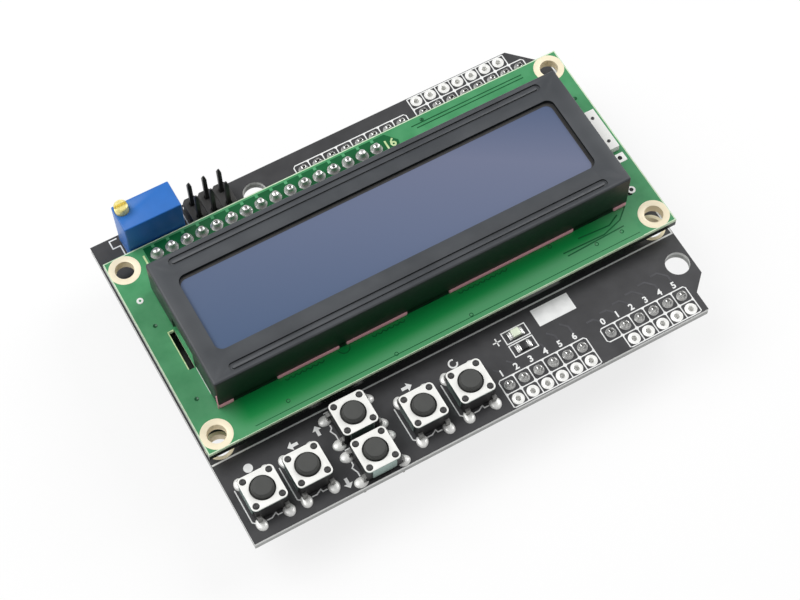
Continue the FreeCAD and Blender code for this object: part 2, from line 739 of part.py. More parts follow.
def small_parts():
    """The lamp, its resistor, the ladder under the display and the transistor."""
    lamp = new_body("power_lamp", "Sizes.lamp_x", "Sizes.lamp_y", BOARD_TOP)
    foot = new_sketch(lamp, "foot")
    rectangle(foot, "Sizes.chip_length", "Sizes.chip_width")
    pad(lamp, foot, "Sizes.chip_height / 2")
    lens = new_sketch(lamp, "lens", level="Sizes.chip_height / 2")
    rectangle(lens, "Sizes.lamp_lens_length", "Sizes.chip_width")
    pad(lamp, lens, "Sizes.lamp_lens_height")
    chip = ("Sizes.chip_length", "Sizes.chip_width", "Sizes.chip_height")
    resistor = box("lamp_chip", *chip, "Sizes.lamp_x", "Sizes.lamp_resistor_y", BOARD_TOP)
    keep(resistor, "lamp_resistor")
    ladder = []
    for number in range(int(size("Sizes.ladder_count"))):
        x = "Sizes.ladder_x + %d * Sizes.ladder_pitch" % number
        ladder.append(box("ladder_chip_%d" % (number + 1), *chip, x, "Sizes.ladder_y", BOARD_TOP))
    group(ladder, "key_resistors")

    transistor = new_body("backlight_transistor", "Sizes.transistor_x", "Sizes.transistor_y", BOARD_TOP)
    leads = new_sketch(transistor, "leads")
    half_reach = "(Sizes.transistor_reach / 2)"
    for x, side in ((-1, -1), (1, -1), (0, 1)):
        lead_x = "%d * Sizes.transistor_lead_x" % x
        lead_y = "%d * %s / 2" % (side, half_reach)
        rectangle(leads, "Sizes.transistor_lead_width", half_reach, lead_x, lead_y)
    pad(transistor, leads, "Sizes.transistor_lead_sheet")
    case = new_sketch(transistor, "case")
    rectangle(case, "Sizes.transistor_length", "Sizes.transistor_width")
    pad(transistor, case, "Sizes.transistor_height")


def trimmer_middle():
    """X of the middle of the trimmer."""
    return "(Sizes.trimmer_left_x + Sizes.trimmer_length / 2)"


def trimmer_lead_y():
    """Y of the trimmer's row of leads."""
    return "(%s + Sizes.trimmer_width / 2)" % TRIMMER_Y


def trimmer():
    """The upright multi-turn trimmer, with its screw, carriage and element."""
    middle_x, middle_y = trimmer_middle(), trimmer_lead_y()
    housing = new_body("trimmer_housing", middle_x, middle_y, BOARD_TOP)
    face = new_sketch(housing, "plan", level="Sizes.trimmer_foot")
    rectangle(face, "Sizes.trimmer_length", "Sizes.trimmer_width")
    pad(housing, face, "Sizes.trimmer_height - Sizes.trimmer_foot")
    hollow = new_sketch(housing, "hollow", level="Sizes.trimmer_foot")
    inside_length = "(Sizes.trimmer_length - 2 * Sizes.trimmer_wall)"
    inside_width = "(Sizes.trimmer_width - 2 * Sizes.trimmer_wall)"
    rectangle(hollow, inside_length, inside_width)
    depth = "Sizes.trimmer_height - Sizes.trimmer_foot - Sizes.trimmer_top"
    cut(housing, hollow, depth, upward=True)
    bore = new_sketch(housing, "screw_bore", level="Sizes.trimmer_height")
    screw_x = "(%s - %s)" % (SCREW_X, middle_x)
    screw_y = "(%s - %s)" % (SCREW_Y, middle_y)
    circle(bore, "Sizes.screw_head_radius + Sizes.running_clearance", screw_x, screw_y)
    cut(housing, bore, "Sizes.trimmer_top")
    feet = new_sketch(housing, "feet")
    for side in (-1, 1):
        for end in (-1, 1):
            x = "%d * (Sizes.trimmer_length - Sizes.trimmer_foot_size) / 2" % side
            y = "%d * (Sizes.trimmer_width - Sizes.trimmer_wall) / 2" % end
            rectangle(feet, "Sizes.trimmer_foot_size", "Sizes.trimmer_wall", x, y)
    pad(housing, feet, "Sizes.trimmer_foot")

    floor_z = "%s + Sizes.trimmer_foot" % BOARD_TOP
    floor = box("floor_plate", inside_length, inside_width, "Sizes.trimmer_floor",
                middle_x, middle_y, floor_z)
    bores = []
    leads = []
    section = ("Sizes.trimmer_lead", "Sizes.trimmer_lead")
    lower = "%s - Sizes.trimmer_lead_below" % BOARD_BOTTOM
    length = "%s + Sizes.trimmer_floor - (%s)" % (floor_z, lower)
    for number in (1, 2, 3):
        x = "%s + %d * Sizes.pin_pitch" % (middle_x, number - 2)
        leads.append(box("lead_wire_%d" % number, *section, length, x, middle_y, lower))
        hole = box("lead_hole_%d" % number, *section, "Sizes.trimmer_floor", x, middle_y, floor_z)
        bores.append(hole)
    tools = doc.addObject("Part::Compound", "lead_holes")
    tools.Links = bores
    base = doc.addObject("Part::Cut", "floor_with_holes")
    base.Base = floor
    base.Tool = tools
    keep(base, "trimmer_floor")
    group(leads, "trimmer_leads")

    inner_top = "(%s + Sizes.trimmer_floor + %s)" % (floor_z, TRIMMER_INSIDE)
    element_y = "%s - (%s - Sizes.element_thickness) / 2" % (middle_y, inside_width)
    element_z = "%s + Sizes.trimmer_floor" % floor_z
    element = box("element_plate", inside_length, "Sizes.element_thickness", TRIMMER_INSIDE,
                  middle_x, element_y, element_z)
    keep(element, "trimmer_element")

    screw = new_body("trimmer_screw", SCREW_X, SCREW_Y, inner_top)
    head = new_sketch(screw, "head")
    circle(head, "Sizes.screw_head_radius")
    pad(screw, head, "Sizes.trimmer_top + Sizes.screw_rise")
    shank = new_sketch(screw, "shank")
    circle(shank, "Sizes.screw_radius")
    shank_length = "%s - Sizes.wiper_clearance" % TRIMMER_INSIDE
    pad(screw, shank, shank_length, reverse=True)
    slot = new_sketch(screw, "slot", level="Sizes.trimmer_top + Sizes.screw_rise")
    rectangle(slot, "2 * (Sizes.screw_head_radius + Sizes.screw_slot)", "Sizes.screw_slot")
    cut(screw, slot, "Sizes.screw_slot_depth")

    wiper_z = "%s + (%s - Sizes.wiper_height) / 2" % (element_z, TRIMMER_INSIDE)
    wiper_width = "(%s - Sizes.element_thickness - 2 * Sizes.wiper_clearance)" % inside_width
    wiper_x = "(Sizes.trimmer_left_x + Sizes.trimmer_wall + Sizes.wiper_clearance + Sizes.wiper_length / 2)"
    wiper_y = "(%s + (%s - %s) / 2 - Sizes.wiper_clearance)" % (middle_y, inside_width, wiper_width)
    wiper = new_body("trimmer_wiper", wiper_x, wiper_y, wiper_z)
    plan = new_sketch(wiper, "plan")
    rectangle(plan, "Sizes.wiper_length", wiper_width)
    nut_x = "(%s - %s)" % (SCREW_X, wiper_x)
    nut_y = "(%s - %s)" % (SCREW_Y, wiper_y)
    circle(plan, "Sizes.screw_radius + Sizes.running_clearance", nut_x, nut_y)
    pad(wiper, plan, "Sizes.wiper_height")


def push_button(label, x, y, turned):
    """One push button: moulded base, folded cover, cap and snap dome."""
    turn = 90 if turned else 0
    base = new_body(label + "_base", x, y, BOARD_TOP, turn)
    plan = new_sketch(base, "plan")
    narrow = "Sizes.key_size - 2 * Sizes.key_sheet"
    rectangle(plan, narrow, "Sizes.key_size")
    pad(base, plan, "Sizes.key_base_height")
    well = new_sketch(base, "well", level="Sizes.key_base_height")
    rectangle(well, "Sizes.key_well", "Sizes.key_well")
    cut(base, well, "Sizes.key_base_height - Sizes.key_floor")

    cover = new_body(label + "_cover", x, y, "%s + Sizes.key_base_height" % BOARD_TOP, turn)
    sheet_plan = new_sketch(cover, "plan")
    rectangle(sheet_plan, "Sizes.key_size", "Sizes.key_size")
    plate = pad(cover, sheet_plan, "Sizes.key_sheet")

    def corner(start, end):
        return same(start.x, end.x) and same(start.y, end.y)

    dress(cover, "Chamfer", plate, edges_where(plate, corner), "Sizes.key_corner")
    hole = new_sketch(cover, "hole", level="Sizes.key_sheet")
    circle(hole, "Sizes.key_cap_radius + Sizes.key_cap_gap")
    cut(cover, hole, "Sizes.key_sheet")
    wings = new_sketch(cover, "wings")
    for side in (-1, 1):
        wing_x = "%d * (Sizes.key_size - Sizes.key_sheet) / 2" % side
        rectangle(wings, "Sizes.key_sheet", "Sizes.key_wing_width", wing_x)
    pad(cover, wings, "Sizes.key_base_height - Sizes.key_wing_bottom", reverse=True)

    bottom = "(Sizes.key_base_height - Sizes.key_flange_gap - Sizes.key_flange_height)"
    cap = new_body(label + "_cap", x, y, "%s + %s" % (BOARD_TOP, bottom), turn)
    flange = new_sketch(cap, "flange")
    rectangle(flange, "Sizes.key_flange", "Sizes.key_flange")
    pad(cap, flange, "Sizes.key_flange_height")
    stem = new_sketch(cap, "stem", level="Sizes.key_flange_height")
    circle(stem, "Sizes.key_cap_radius")
    pad(cap, stem, "Sizes.key_cap_top - %s - Sizes.key_flange_height" % bottom)
    nib = new_sketch(cap, "nib")
    rectangle(nib, "Sizes.key_nib", "Sizes.key_nib")
    dome_top = "(Sizes.key_floor + Sizes.dome_rise)"
    pad(cap, nib, "%s - %s" % (bottom, dome_top), reverse=True)

    dome = new_body(label + "_dome", x, y, "%s + Sizes.key_floor" % BOARD_TOP, turn)
    profile = new_sketch(dome, "profile", role="XZ_Plane")
    dome_profile(profile)
    pad(dome, profile, "Sizes.dome_width").SideType = "Symmetric"


def dome_profile(sketch):
    """The section of a snap dome: two sloping legs and a flat crown."""
    foot, crown = "Sizes.dome_length / 2", "Sizes.dome_crown / 2"
    half = (
        (crown, "Sizes.dome_rise"),
        (foot, "Sizes.dome_sheet"),
        (foot, "0"),
        (foot + " - Sizes.dome_sheet", "0"),
        (crown, "Sizes.dome_rise - Sizes.dome_sheet"),
    )
    mirrored = [("-(%s)" % x, z) for x, z in reversed(half)]
    outline(sketch, list(half) + mirrored)


def button_legs():
    """The legs of all six push buttons: out of the base, then down the board."""
    legs = []
    for label, x, y, turned in KEYS:
        for across, along in leg_places():
            side = 1 if size(along) > 0 else -1
            name = "%s_leg_%d" % (label, len(legs) % 4 + 1)
            legs.append(one_leg(name, x, y, turned, across, side))
    group(legs, "button_legs")


def one_leg(name, x, y, turned, across, side):
    """One leg of folded sheet, as two boxes joined at the bend."""
    wall = "(Sizes.key_size / 2)"
    reach = "(Sizes.leg_spread / 2 + Sizes.leg_sheet / 2)"
    arm_length = "(%s - %s)" % (reach, wall)
    arm_middle = "%d * (%s + %s) / 2" % (side, reach, wall)
    drop_middle = "%d * Sizes.leg_spread / 2" % side
    arm_z = "%s + Sizes.leg_height - Sizes.leg_sheet" % BOARD_TOP
    drop_z = "%s - Sizes.leg_below" % BOARD_BOTTOM
    drop_height = "%s - (%s)" % (arm_z, drop_z)
    pieces = []
    for tag, length, height, middle, level in (
        ("arm", arm_length, "Sizes.leg_sheet", arm_middle, arm_z),
        ("drop", "Sizes.leg_sheet", drop_height, drop_middle, drop_z),
    ):
        if turned:
            piece = box(name + "_" + tag, length, "Sizes.leg_width", height,
                        "%s + %s" % (x, middle), "%s + %s" % (y, across), level)
        else:
            piece = box(name + "_" + tag, "Sizes.leg_width", length, height,
                        "%s + %s" % (x, across), "%s + %s" % (y, middle), level)
        pieces.append(piece)
    leg = doc.addObject("Part::Fuse", name)
    leg.Base, leg.Tool = pieces
    return leg


def build():
    """Make every piece, check it and write it."""
    carrier_board()
    plug_pins()
    display_header()
    block_header()
    display_board()
    display_frame()
    display_cell()
    driver_blobs()
    small_parts()
    trimmer()
    for label, x, y, turned in KEYS:
        push_button(label, x, y, turned)
    button_legs()
    doc.recompute()
    for thing in doc.Objects:
        if "Invalid" in thing.State or "Error" in thing.State:
            raise RuntimeError("failed object: " + thing.Name)
    os.makedirs("parts", exist_ok=True)
    for piece in PARTS:
        if piece.Shape.isNull() or not piece.Shape.isValid():
            raise RuntimeError("bad shape: " + piece.Label)
    for piece in PARTS:
        piece.Shape.exportStep("parts/%s.step" % piece.Label)
        print(piece.Label, len(piece.Shape.Solids), round(piece.Shape.Volume, 2))
    print(len(PARTS), "pieces")


build()
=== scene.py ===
import json
import math
import random

import bmesh
import bpy
from mathutils import Matrix, Vector


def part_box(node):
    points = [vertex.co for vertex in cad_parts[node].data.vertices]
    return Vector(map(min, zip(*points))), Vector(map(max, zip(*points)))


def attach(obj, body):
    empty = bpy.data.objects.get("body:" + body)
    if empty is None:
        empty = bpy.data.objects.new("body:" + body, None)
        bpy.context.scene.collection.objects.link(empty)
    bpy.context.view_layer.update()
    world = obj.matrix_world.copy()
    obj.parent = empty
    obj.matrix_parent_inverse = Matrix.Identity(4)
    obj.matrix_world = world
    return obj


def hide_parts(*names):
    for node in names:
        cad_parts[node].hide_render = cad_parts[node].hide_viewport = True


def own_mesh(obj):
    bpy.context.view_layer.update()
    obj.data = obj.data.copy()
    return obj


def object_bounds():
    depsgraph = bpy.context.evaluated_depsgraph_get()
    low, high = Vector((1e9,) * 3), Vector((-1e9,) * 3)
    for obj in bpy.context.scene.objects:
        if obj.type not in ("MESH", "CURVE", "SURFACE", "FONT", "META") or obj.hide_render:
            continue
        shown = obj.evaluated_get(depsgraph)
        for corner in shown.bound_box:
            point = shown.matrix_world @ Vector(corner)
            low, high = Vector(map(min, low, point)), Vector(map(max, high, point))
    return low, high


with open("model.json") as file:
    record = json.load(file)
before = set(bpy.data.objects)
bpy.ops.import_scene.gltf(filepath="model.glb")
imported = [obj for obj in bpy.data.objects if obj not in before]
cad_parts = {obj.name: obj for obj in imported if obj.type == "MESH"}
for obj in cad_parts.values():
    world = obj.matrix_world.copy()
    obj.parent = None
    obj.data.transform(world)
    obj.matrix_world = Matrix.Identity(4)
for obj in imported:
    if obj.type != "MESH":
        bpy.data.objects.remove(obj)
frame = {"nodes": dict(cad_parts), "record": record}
CAD_LOW, CAD_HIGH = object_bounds()

# Lengths in this file are millimetres. Meshes are scaled to metres once, where they are made.
MM = 0.001
PITCH = 2.54            # pins and pads stand on this grid
PIN = 0.64              # side of a square pin
PAINT = 0.03            # height of printed lines above a board
MASK = 0.02             # height of resist-covered copper above a board
PLATING = 0.05          # height of bare tinned copper above a board
LINE = 0.18             # width of a printed line
ROUND = 28              # sides of a small round form
SHARP = 30              # degrees between faces from which an edge shows sharp


# ---------------------------------------------------------------- the frame's own sizes

def corners(node):
    """A node's lowest and highest corners, in millimetres."""
    low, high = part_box(node)
    return Vector(low) / MM, Vector(high) / MM


def middle(node):
    """The middle of a node's box, in millimetres."""
    low, high = corners(node)
    return (low + high) / 2


def mount(name):
    """Where the record says a mount is, in millimetres."""
    for entry in frame["record"]["mounts"]:
        if entry["name"] == name:
            return Vector(entry["pos_m"]) / MM
    raise ValueError(name)


def grid(node, rows=1):
    """The X and Y of each pin of a moulded strip."""
    low, high = corners(node)
    count = round((high.x - low.x) / PITCH)
    firsts = low.x + PITCH / 2, low.y + PITCH / 2
    return [(firsts[0] + PITCH * i, firsts[1] + PITCH * j) for j in range(rows) for i in range(count)]


BOARD_LOW, BOARD_HIGH = corners("carrier_board")
GREEN_LOW, GREEN_HIGH = corners("display_board")
SHELL_LOW, SHELL_HIGH = corners("display_frame")
TOP = BOARD_HIGH.z
GREEN_TOP = GREEN_HIGH.z
KEYS = ("select", "left", "up", "down", "right", "reset")
TURNED = ("up", "down")
PLUG_ROWS = ("power", "analog", "low", "high")
HOLES = {entry["name"]: entry for entry in frame["record"]["mounts"]}
CORNER = HOLES["display_corner_holes"]
CORNER_RADIUS = CORNER["dims"]["hole_r_mm"]
WINDOW = Vector(((SHELL_LOW.x + SHELL_HIGH.x) / 2 - 0.1, SHELL_LOW.y + 11.45))
WINDOW_LENGTH, WINDOW_DEPTH, WINDOW_CORNER = 64.1, 13.8, 1.3


# ---------------------------------------------------------------- materials

def shade(red, green, blue):
    """A colour as a screen shows it, from 0 to 255, as the values that a shader takes."""
    def one(value):
        value /= 255
        return value / 12.92 if value <= 0.04045 else ((value + 0.055) / 1.055) ** 2.4
    return one(red), one(green), one(blue)


def surface(name, color, roughness, metallic=0.0, **even):
    """A material whose even values are set on its shader. Extra sockets are named with _ for a space."""
    made = bpy.data.materials.new(name)
    made.use_nodes = True
    shader = made.node_tree.nodes["Principled BSDF"]
    shader.inputs["Base Color"].default_value = (*color, 1)
    shader.inputs["Roughness"].default_value = roughness
    shader.inputs["Metallic"].default_value = metallic
    for socket, value in even.items():
        shader.inputs[socket.replace("_", " ")].default_value = value
    return made


def add(made, kind, **settings):
    """One more node in a material."""
    fresh = made.node_tree.nodes.new("ShaderNode" + kind)
    for name, value in settings.items():
        setattr(fresh, name, value)
    return fresh


def join(made, source, target):
    """A link between two sockets."""
    made.node_tree.links.new(source, target)


def shader_input(made, name):
    return made.node_tree.nodes["Principled BSDF"].inputs[name]


def place_in(made, stretch=(1, 1, 1)):
    """The object's own coordinates, stretched."""
    place = add(made, "TexCoord")
    mapping = add(made, "Mapping")
    mapping.inputs["Scale"].default_value = stretch
    join(made, place.outputs["Object"], mapping.inputs["Vector"])
    return mapping.outputs["Vector"]


def noise(made, per_mm, detail=3.0, stretch=(1, 1, 1)):
    """A cloudy value with this many lumps a millimetre."""
    texture = add(made, "TexNoise")
    texture.inputs["Scale"].default_value = per_mm / MM
    texture.inputs["Detail"].default_value = detail
    join(made, place_in(made, stretch), texture.inputs["Vector"])
    return texture.outputs["Fac"]


def ramp(made, factor, stops):
    """Colours or greys at places along a value."""
    ramped = add(made, "ValToRGB")
    points = ramped.color_ramp.elements
    while len(points) < len(stops):
        points.new(0.5)
    for point, (at, color) in zip(points, stops):
        point.position = at
        point.color = (*color, 1) if isinstance(color, tuple) else (color, color, color, 1)
    join(made, factor, ramped.inputs["Fac"])
    return ramped.outputs["Color"]


def mottle(made, per_mm, dark, light):
    """Base colour that drifts between two tones."""
    tones = ramp(made, noise(made, per_mm), ((0.35, dark), (0.65, light)))
    join(made, tones, shader_input(made, "Base Color"))
    return tones


def uneven_gloss(made, per_mm, smooth, rough, stretch=(1, 1, 1)):
    """Roughness that varies over the surface."""
    gloss = ramp(made, noise(made, per_mm, 4.0, stretch), ((0.3, smooth), (0.7, rough)))
    join(made, gloss, shader_input(made, "Roughness"))


def relief(made, height, depth, strength=0.5):
    """Bump from a value, with its depth in millimetres."""
    bump = add(made, "Bump")
    bump.inputs["Strength"].default_value = strength
    bump.inputs["Distance"].default_value = depth * MM
    join(made, height, bump.inputs["Height"])
    join(made, bump.outputs["Normal"], shader_input(made, "Normal"))


def upright(made):
    """1 on faces that look up or down and 0 on upright ones."""
    place = add(made, "TexCoord")
    split = add(made, "SeparateXYZ")
    join(made, place.outputs["Normal"], split.inputs["Vector"])
    size = add(made, "Math", operation="ABSOLUTE")
    join(made, split.outputs["Z"], size.inputs[0])
    facing = add(made, "Math", operation="GREATER_THAN")
    facing.inputs[1].default_value = 0.5
    join(made, size.outputs["Value"], facing.inputs[0])
    return facing.outputs["Value"]


def share(made, value, low, high, ends=(0.0, 1.0), kind="LINEAR"):
    """How far a value is from low to high, as a number between two ends."""
    spread = add(made, "MapRange", interpolation_type=kind)
    for socket, number in zip(("From Min", "From Max", "To Min", "To Max"), (low, high, *ends)):
        spread.inputs[socket].default_value = number
    join(made, value, spread.inputs["Value"])
    return spread.outputs["Result"]


def along(made, axis):
    """The object's own X, Y or Z."""
    split = add(made, "SeparateXYZ")
    join(made, place_in(made), split.inputs["Vector"])
    return split.outputs[axis]


def slanted(made, way):
    """Distance along a direction, in the direction's own scale."""
    place = add(made, "VectorMath", operation="DOT_PRODUCT")
    place.inputs[1].default_value = way
    join(made, place_in(made), place.inputs[0])
    return place.outputs["Value"]


def mixed(made, factor, first, second):
    """Base colour between two: first where factor is 0 and second where it is 1."""
    mix = add(made, "Mix", data_type="RGBA")
    join(made, factor, mix.inputs["Factor"])
    for socket, held in (("A", first), ("B", second)):
        if isinstance(held, tuple):
            mix.inputs[socket].default_value = (*held, 1)
        else:
            join(made, held, mix.inputs[socket])
    join(made, mix.outputs["Result"], shader_input(made, "Base Color"))


def board_material(name, resist, resist_light, lit_edge, shaded_edge, low, high, gloss, rim):
    """Resist over woven glass board: mottled faces, and cut edges with a painted highlight along the top and
    painted shade below it.
    """
    made = surface(name, resist, gloss, Specular_IOR_Level=0.35)
    faces = ramp(made, noise(made, 0.35, 4.0), ((0.3, resist), (0.7, resist_light)))
    height = share(made, along(made, "Z"), low * MM, high * MM)
    # Cut edges: painted shade from the bottom up to rim, and a painted highlight from there to the top.
    edges = ramp(made, height, ((0.0, shaded_edge), (rim, shaded_edge), (rim + 0.08, lit_edge)))
    mixed(made, upright(made), edges, faces)
    weave = add(made, "TexWave", wave_type="BANDS", bands_direction="DIAGONAL")
    weave.inputs["Scale"].default_value = 0.35 / MM
    weave.inputs["Distortion"].default_value = 2.0
    weave.inputs["Detail"].default_value = 2.0
    join(made, place_in(made), weave.inputs["Vector"])
    relief(made, weave.outputs["Fac"], 0.004, 0.35)
    return made


def plastic(name, color, roughness, lift=1.25, grain=6.0, depth=0.006, **even):
    """Moulded plastic: fine spark-eroded grain and a slight drift of tone."""
    made = surface(name, color, roughness, **even)
    mottle(made, 0.5, color, tuple(min(1.0, value * lift) for value in color))
    relief(made, noise(made, grain, 4.0), depth)
    return made


def metal(name, color, smooth, rough, streak=(1, 1, 1), grain=4.0, depth=0.004, tone=0.82, blend=1.0):
    """Metal: gloss that varies, rolling marks or lumps, and blend below 1 where its skin is dull."""
    made = surface(name, color, rough, blend)
    mottle(made, 0.8, tuple(value * tone for value in color), color)
    uneven_gloss(made, 1.2, smooth, rough, streak)
    relief(made, noise(made, grain, 5.0, streak), depth)
    return made


def coated(name, dark, light, gloss, per_mm, grain, **even):
    """A thin coat, such as resist or print: two close tones and a fine grain."""
    made = surface(name, dark, gloss, **even)
    mottle(made, per_mm, dark, light)
    relief(made, noise(made, grain), 0.004)
    return made


# The third and fourth colours of each board are the painted highlight along the top of its cut edge and the
# painted shade below it.
DARK_RESIST = board_material("dark_resist", shade(56, 56, 58), shade(66, 66, 68), shade(236, 237, 235),
                             shade(178, 179, 177), BOARD_LOW.z, BOARD_HIGH.z, 0.42, 0.55)
GREEN_RESIST = board_material("green_resist", shade(66, 144, 94), shade(82, 158, 108), shade(226, 246, 212),
                              shade(26, 34, 26), GREEN_LOW.z, GREEN_HIGH.z, 0.26, 0.62)
GREEN_COPPER = coated("green_copper", shade(74, 152, 102), shade(88, 166, 116), 0.24, 0.3, 1.5,
                      Specular_IOR_Level=0.4)
GREEN_GAP = coated("green_gap", shade(2, 80, 40), shade(10, 98, 52), 0.26, 0.15, 1.5)
DARK_COPPER = coated("dark_copper", shade(62, 62, 66), shade(72, 72, 76), 0.4, 0.4, 1.5)
PRINT = coated("white_print", shade(234, 235, 234), shade(243, 244, 243), 0.6, 0.8, 9.0)
PALE_PRINT = coated("pale_print", shade(190, 214, 150), shade(214, 232, 182), 0.6, 1.5, 9.0)
# A pale strip round the green board's top edge: painted highlight where its rim catches light.
EDGE_HIGHLIGHT_PAINT = coated("painted_edge_highlight", shade(200, 224, 188), shade(222, 240, 212), 0.5, 1.5, 6.0)

# Painted shade of the frame's front wall: the green is dark by the wall and pales towards the board's edge
# and both ends.
GREEN_WALL_SHADE = surface("green_painted_wall_shade", shade(6, 100, 52), 0.26)
PALE_GREEN, SHADED_GREEN = shade(74, 152, 100), shade(6, 140, 66)
near_wall_shade = share(GREEN_WALL_SHADE, slanted(GREEN_WALL_SHADE, (-0.03, 1.0, 0.0)), (SHELL_LOW.y - 4.5) * MM,
                  (SHELL_LOW.y - 2.3) * MM, kind="SMOOTHSTEP")
fade_ends = add(GREEN_WALL_SHADE, "Math", operation="MAXIMUM")
for socket, low, high in ((0, SHELL_HIGH.x - 9.0, SHELL_HIGH.x - 1.0),
                          (1, SHELL_LOW.x + 4.0, SHELL_LOW.x + 0.5)):
    fade_end = share(GREEN_WALL_SHADE, along(GREEN_WALL_SHADE, "X"), low * MM, high * MM, kind="SMOOTHSTEP")
    join(GREEN_WALL_SHADE, fade_end, fade_ends.inputs[socket])
mixed(GREEN_WALL_SHADE, fade_ends.outputs["Value"],
      ramp(GREEN_WALL_SHADE, near_wall_shade, ((0.0, PALE_GREEN), (1.0, SHADED_GREEN))), PALE_GREEN)
relief(GREEN_WALL_SHADE, noise(GREEN_WALL_SHADE, 1.5), 0.004)

ENAMEL = surface("dark_enamel_painted_wall_shade", shade(70, 72, 76), 0.42, Specular_IOR_Level=0.4)
# Upright walls take a near-black painted shade; the top keeps the enamel's own grey.
mixed(ENAMEL, upright(ENAMEL), shade(14, 20, 20),
      mottle(ENAMEL, 0.12, shade(62, 65, 69), shade(72, 75, 79)))
uneven_gloss(ENAMEL, 0.5, 0.38, 0.48)
relief(ENAMEL, noise(ENAMEL, 5.0, 5.0), 0.006, 0.4)
FILM = surface("window_film", shade(88, 98, 132), 0.3, Specular_IOR_Level=0.3)
# The film's base colour is a painted gradient of light: lighter across the middle, shaded towards both ends.
join(FILM, ramp(FILM, share(FILM, slanted(FILM, (9.0, 14.0, 0.0)), -0.3, 0.42), (
    (0.0, shade(76, 94, 124)), (0.45, shade(98, 109, 136)), (0.75, shade(108, 115, 140)),
    (1.0, shade(80, 94, 124)))), shader_input(FILM, "Base Color"))
relief(FILM, noise(FILM, 1.2, 2.0), 0.002, 0.25)
GLASS = surface("clear_glass", shade(225, 235, 232), 0.05, Transmission_Weight=0.85, IOR=1.5)
mottle(GLASS, 0.05, shade(215, 230, 226), shade(230, 238, 236))
GUIDE = plastic("milky_guide", shade(254, 254, 251), 0.5, 1.0)
PINK = plastic("pink_rubber", shade(252, 184, 196), 0.62, 1.02, 4.0, 0.01)
RESIN = plastic("black_resin", shade(24, 24, 26), 0.18, 1.3, 0.8, 0.02)
BLACK = plastic("black_plastic", shade(46, 45, 44), 0.48, 1.3)
KEY_BASE = plastic("key_base_plastic", shade(28, 28, 29), 0.5, 1.3)
KEY_PEG = plastic("key_peg_plastic", shade(52, 52, 52), 0.55, 1.25, 3.0, 0.02)
KEY_CAP = plastic("key_cap_plastic", shade(66, 67, 65), 0.6, 1.1, 5.0, 0.008)
BLUE = plastic("trimmer_plastic", shade(38, 108, 190), 0.4, 1.06, 5.0, 0.006)
CERAMIC = plastic("white_ceramic", shade(226, 224, 214), 0.6, 1.05, 5.0, 0.01)
CHIP = plastic("chip_body", shade(36, 36, 38), 0.35, 1.3, 3.0, 0.008)
LENS = plastic("lamp_lens", shade(226, 236, 212), 0.3, 1.05, 3.0, 0.004)
SOLDER = metal("solder", shade(232, 232, 230), 0.18, 0.34, grain=1.6, depth=0.03, blend=0.6)
TIN = metal("tinned_metal", shade(150, 150, 148), 0.28, 0.42, (1, 1, 0.15), blend=0.8)
DARK_TIN = metal("dull_tinned_metal", shade(70, 70, 70), 0.34, 0.5, (1, 1, 0.15), blend=0.6)
PLATE = metal("tinned_plate_painted_wing_reflection", shade(246, 246, 242), 0.34, 0.46, (1, 0.2, 1), 2.5, 0.003, 0.97, 0.25)
join(PLATE, share(PLATE, upright(PLATE), 0.0, 1.0, (0.95, 0.1)), shader_input(PLATE, "Metallic"))
# Upright wings take a grey-green painted reflection of their surroundings; the top keeps the tinned colour.
mixed(PLATE, upright(PLATE), shade(150, 170, 164), shader_input(PLATE, "Base Color").links[0].from_socket)
PAD_TIN = metal("tinned_pad", shade(250, 250, 247), 0.3, 0.42, grain=2.2, depth=0.012, tone=0.95,
                blend=0.25)
GOLD_PAD = metal("pale_gold_pad", shade(250, 238, 208), 0.36, 0.48, grain=2.2, depth=0.006,
                 tone=0.96, blend=0.15)
BRASS = metal("brass", shade(255, 240, 158), 0.22, 0.36, (1, 1, 0.2), 3.0, 0.006, 0.94, 0.35)
SPRING = metal("spring_steel", shade(190, 190, 186), 0.2, 0.35)


# ---------------------------------------------------------------- making pieces

def piece(name, form, material, replaces=(), body="board"):
    """Closed forms in millimetres become a piece that rides on a body."""
    bm = gather(form) if isinstance(form, list) else form
    bmesh.ops.scale(bm, vec=(MM, MM, MM), verts=bm.verts)
    bmesh.ops.recalc_face_normals(bm, faces=bm.faces)
    mesh = bpy.data.meshes.new(name)
    bm.to_mesh(mesh)
    bm.free()
    mesh.materials.append(material)
    mesh.shade_smooth()
    mesh.set_sharp_from_angle(angle=math.radians(SHARP))
    made = bpy.data.objects.new(name, mesh)
    bpy.context.scene.collection.objects.link(made)
    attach(made, body)
    if replaces:
        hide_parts(*replaces)
    return made


def circle(x, y, radius, sides=ROUND):
    """Points round a circle."""
    return [(x + radius * math.cos(a), y + radius * math.sin(a))
            for a in (2 * math.pi * i / sides for i in range(sides))]


def rounded(x, y, length, width, radius, steps=5):
    """A rectangle about a point with round corners."""
    points = []
    for quarter, (sx, sy) in enumerate(((1, 1), (-1, 1), (-1, -1), (1, -1))):
        cx, cy = x + sx * (length / 2 - radius), y + sy * (width / 2 - radius)
        for i in range(steps + 1):
            a = math.pi / 2 * (quarter + i / steps)
            points.append((cx + radius * math.cos(a), cy + radius * math.sin(a)))
    return points


def area(loop):
    """Signed area, above zero when the loop runs anticlockwise."""
    return sum(a[0] * b[1] - b[0] * a[1] for a, b in zip(loop, loop[1:] + loop[:1])) / 2


def taken(holder):
    """The mesh that an object shows, with its doubled points joined."""
    mesh = bpy.data.meshes.new_from_object(holder)
    bm = bmesh.new()
    bm.from_mesh(mesh)
    bpy.data.meshes.remove(mesh)
    bmesh.ops.remove_doubles(bm, verts=bm.verts, dist=1e-4)
    return bm


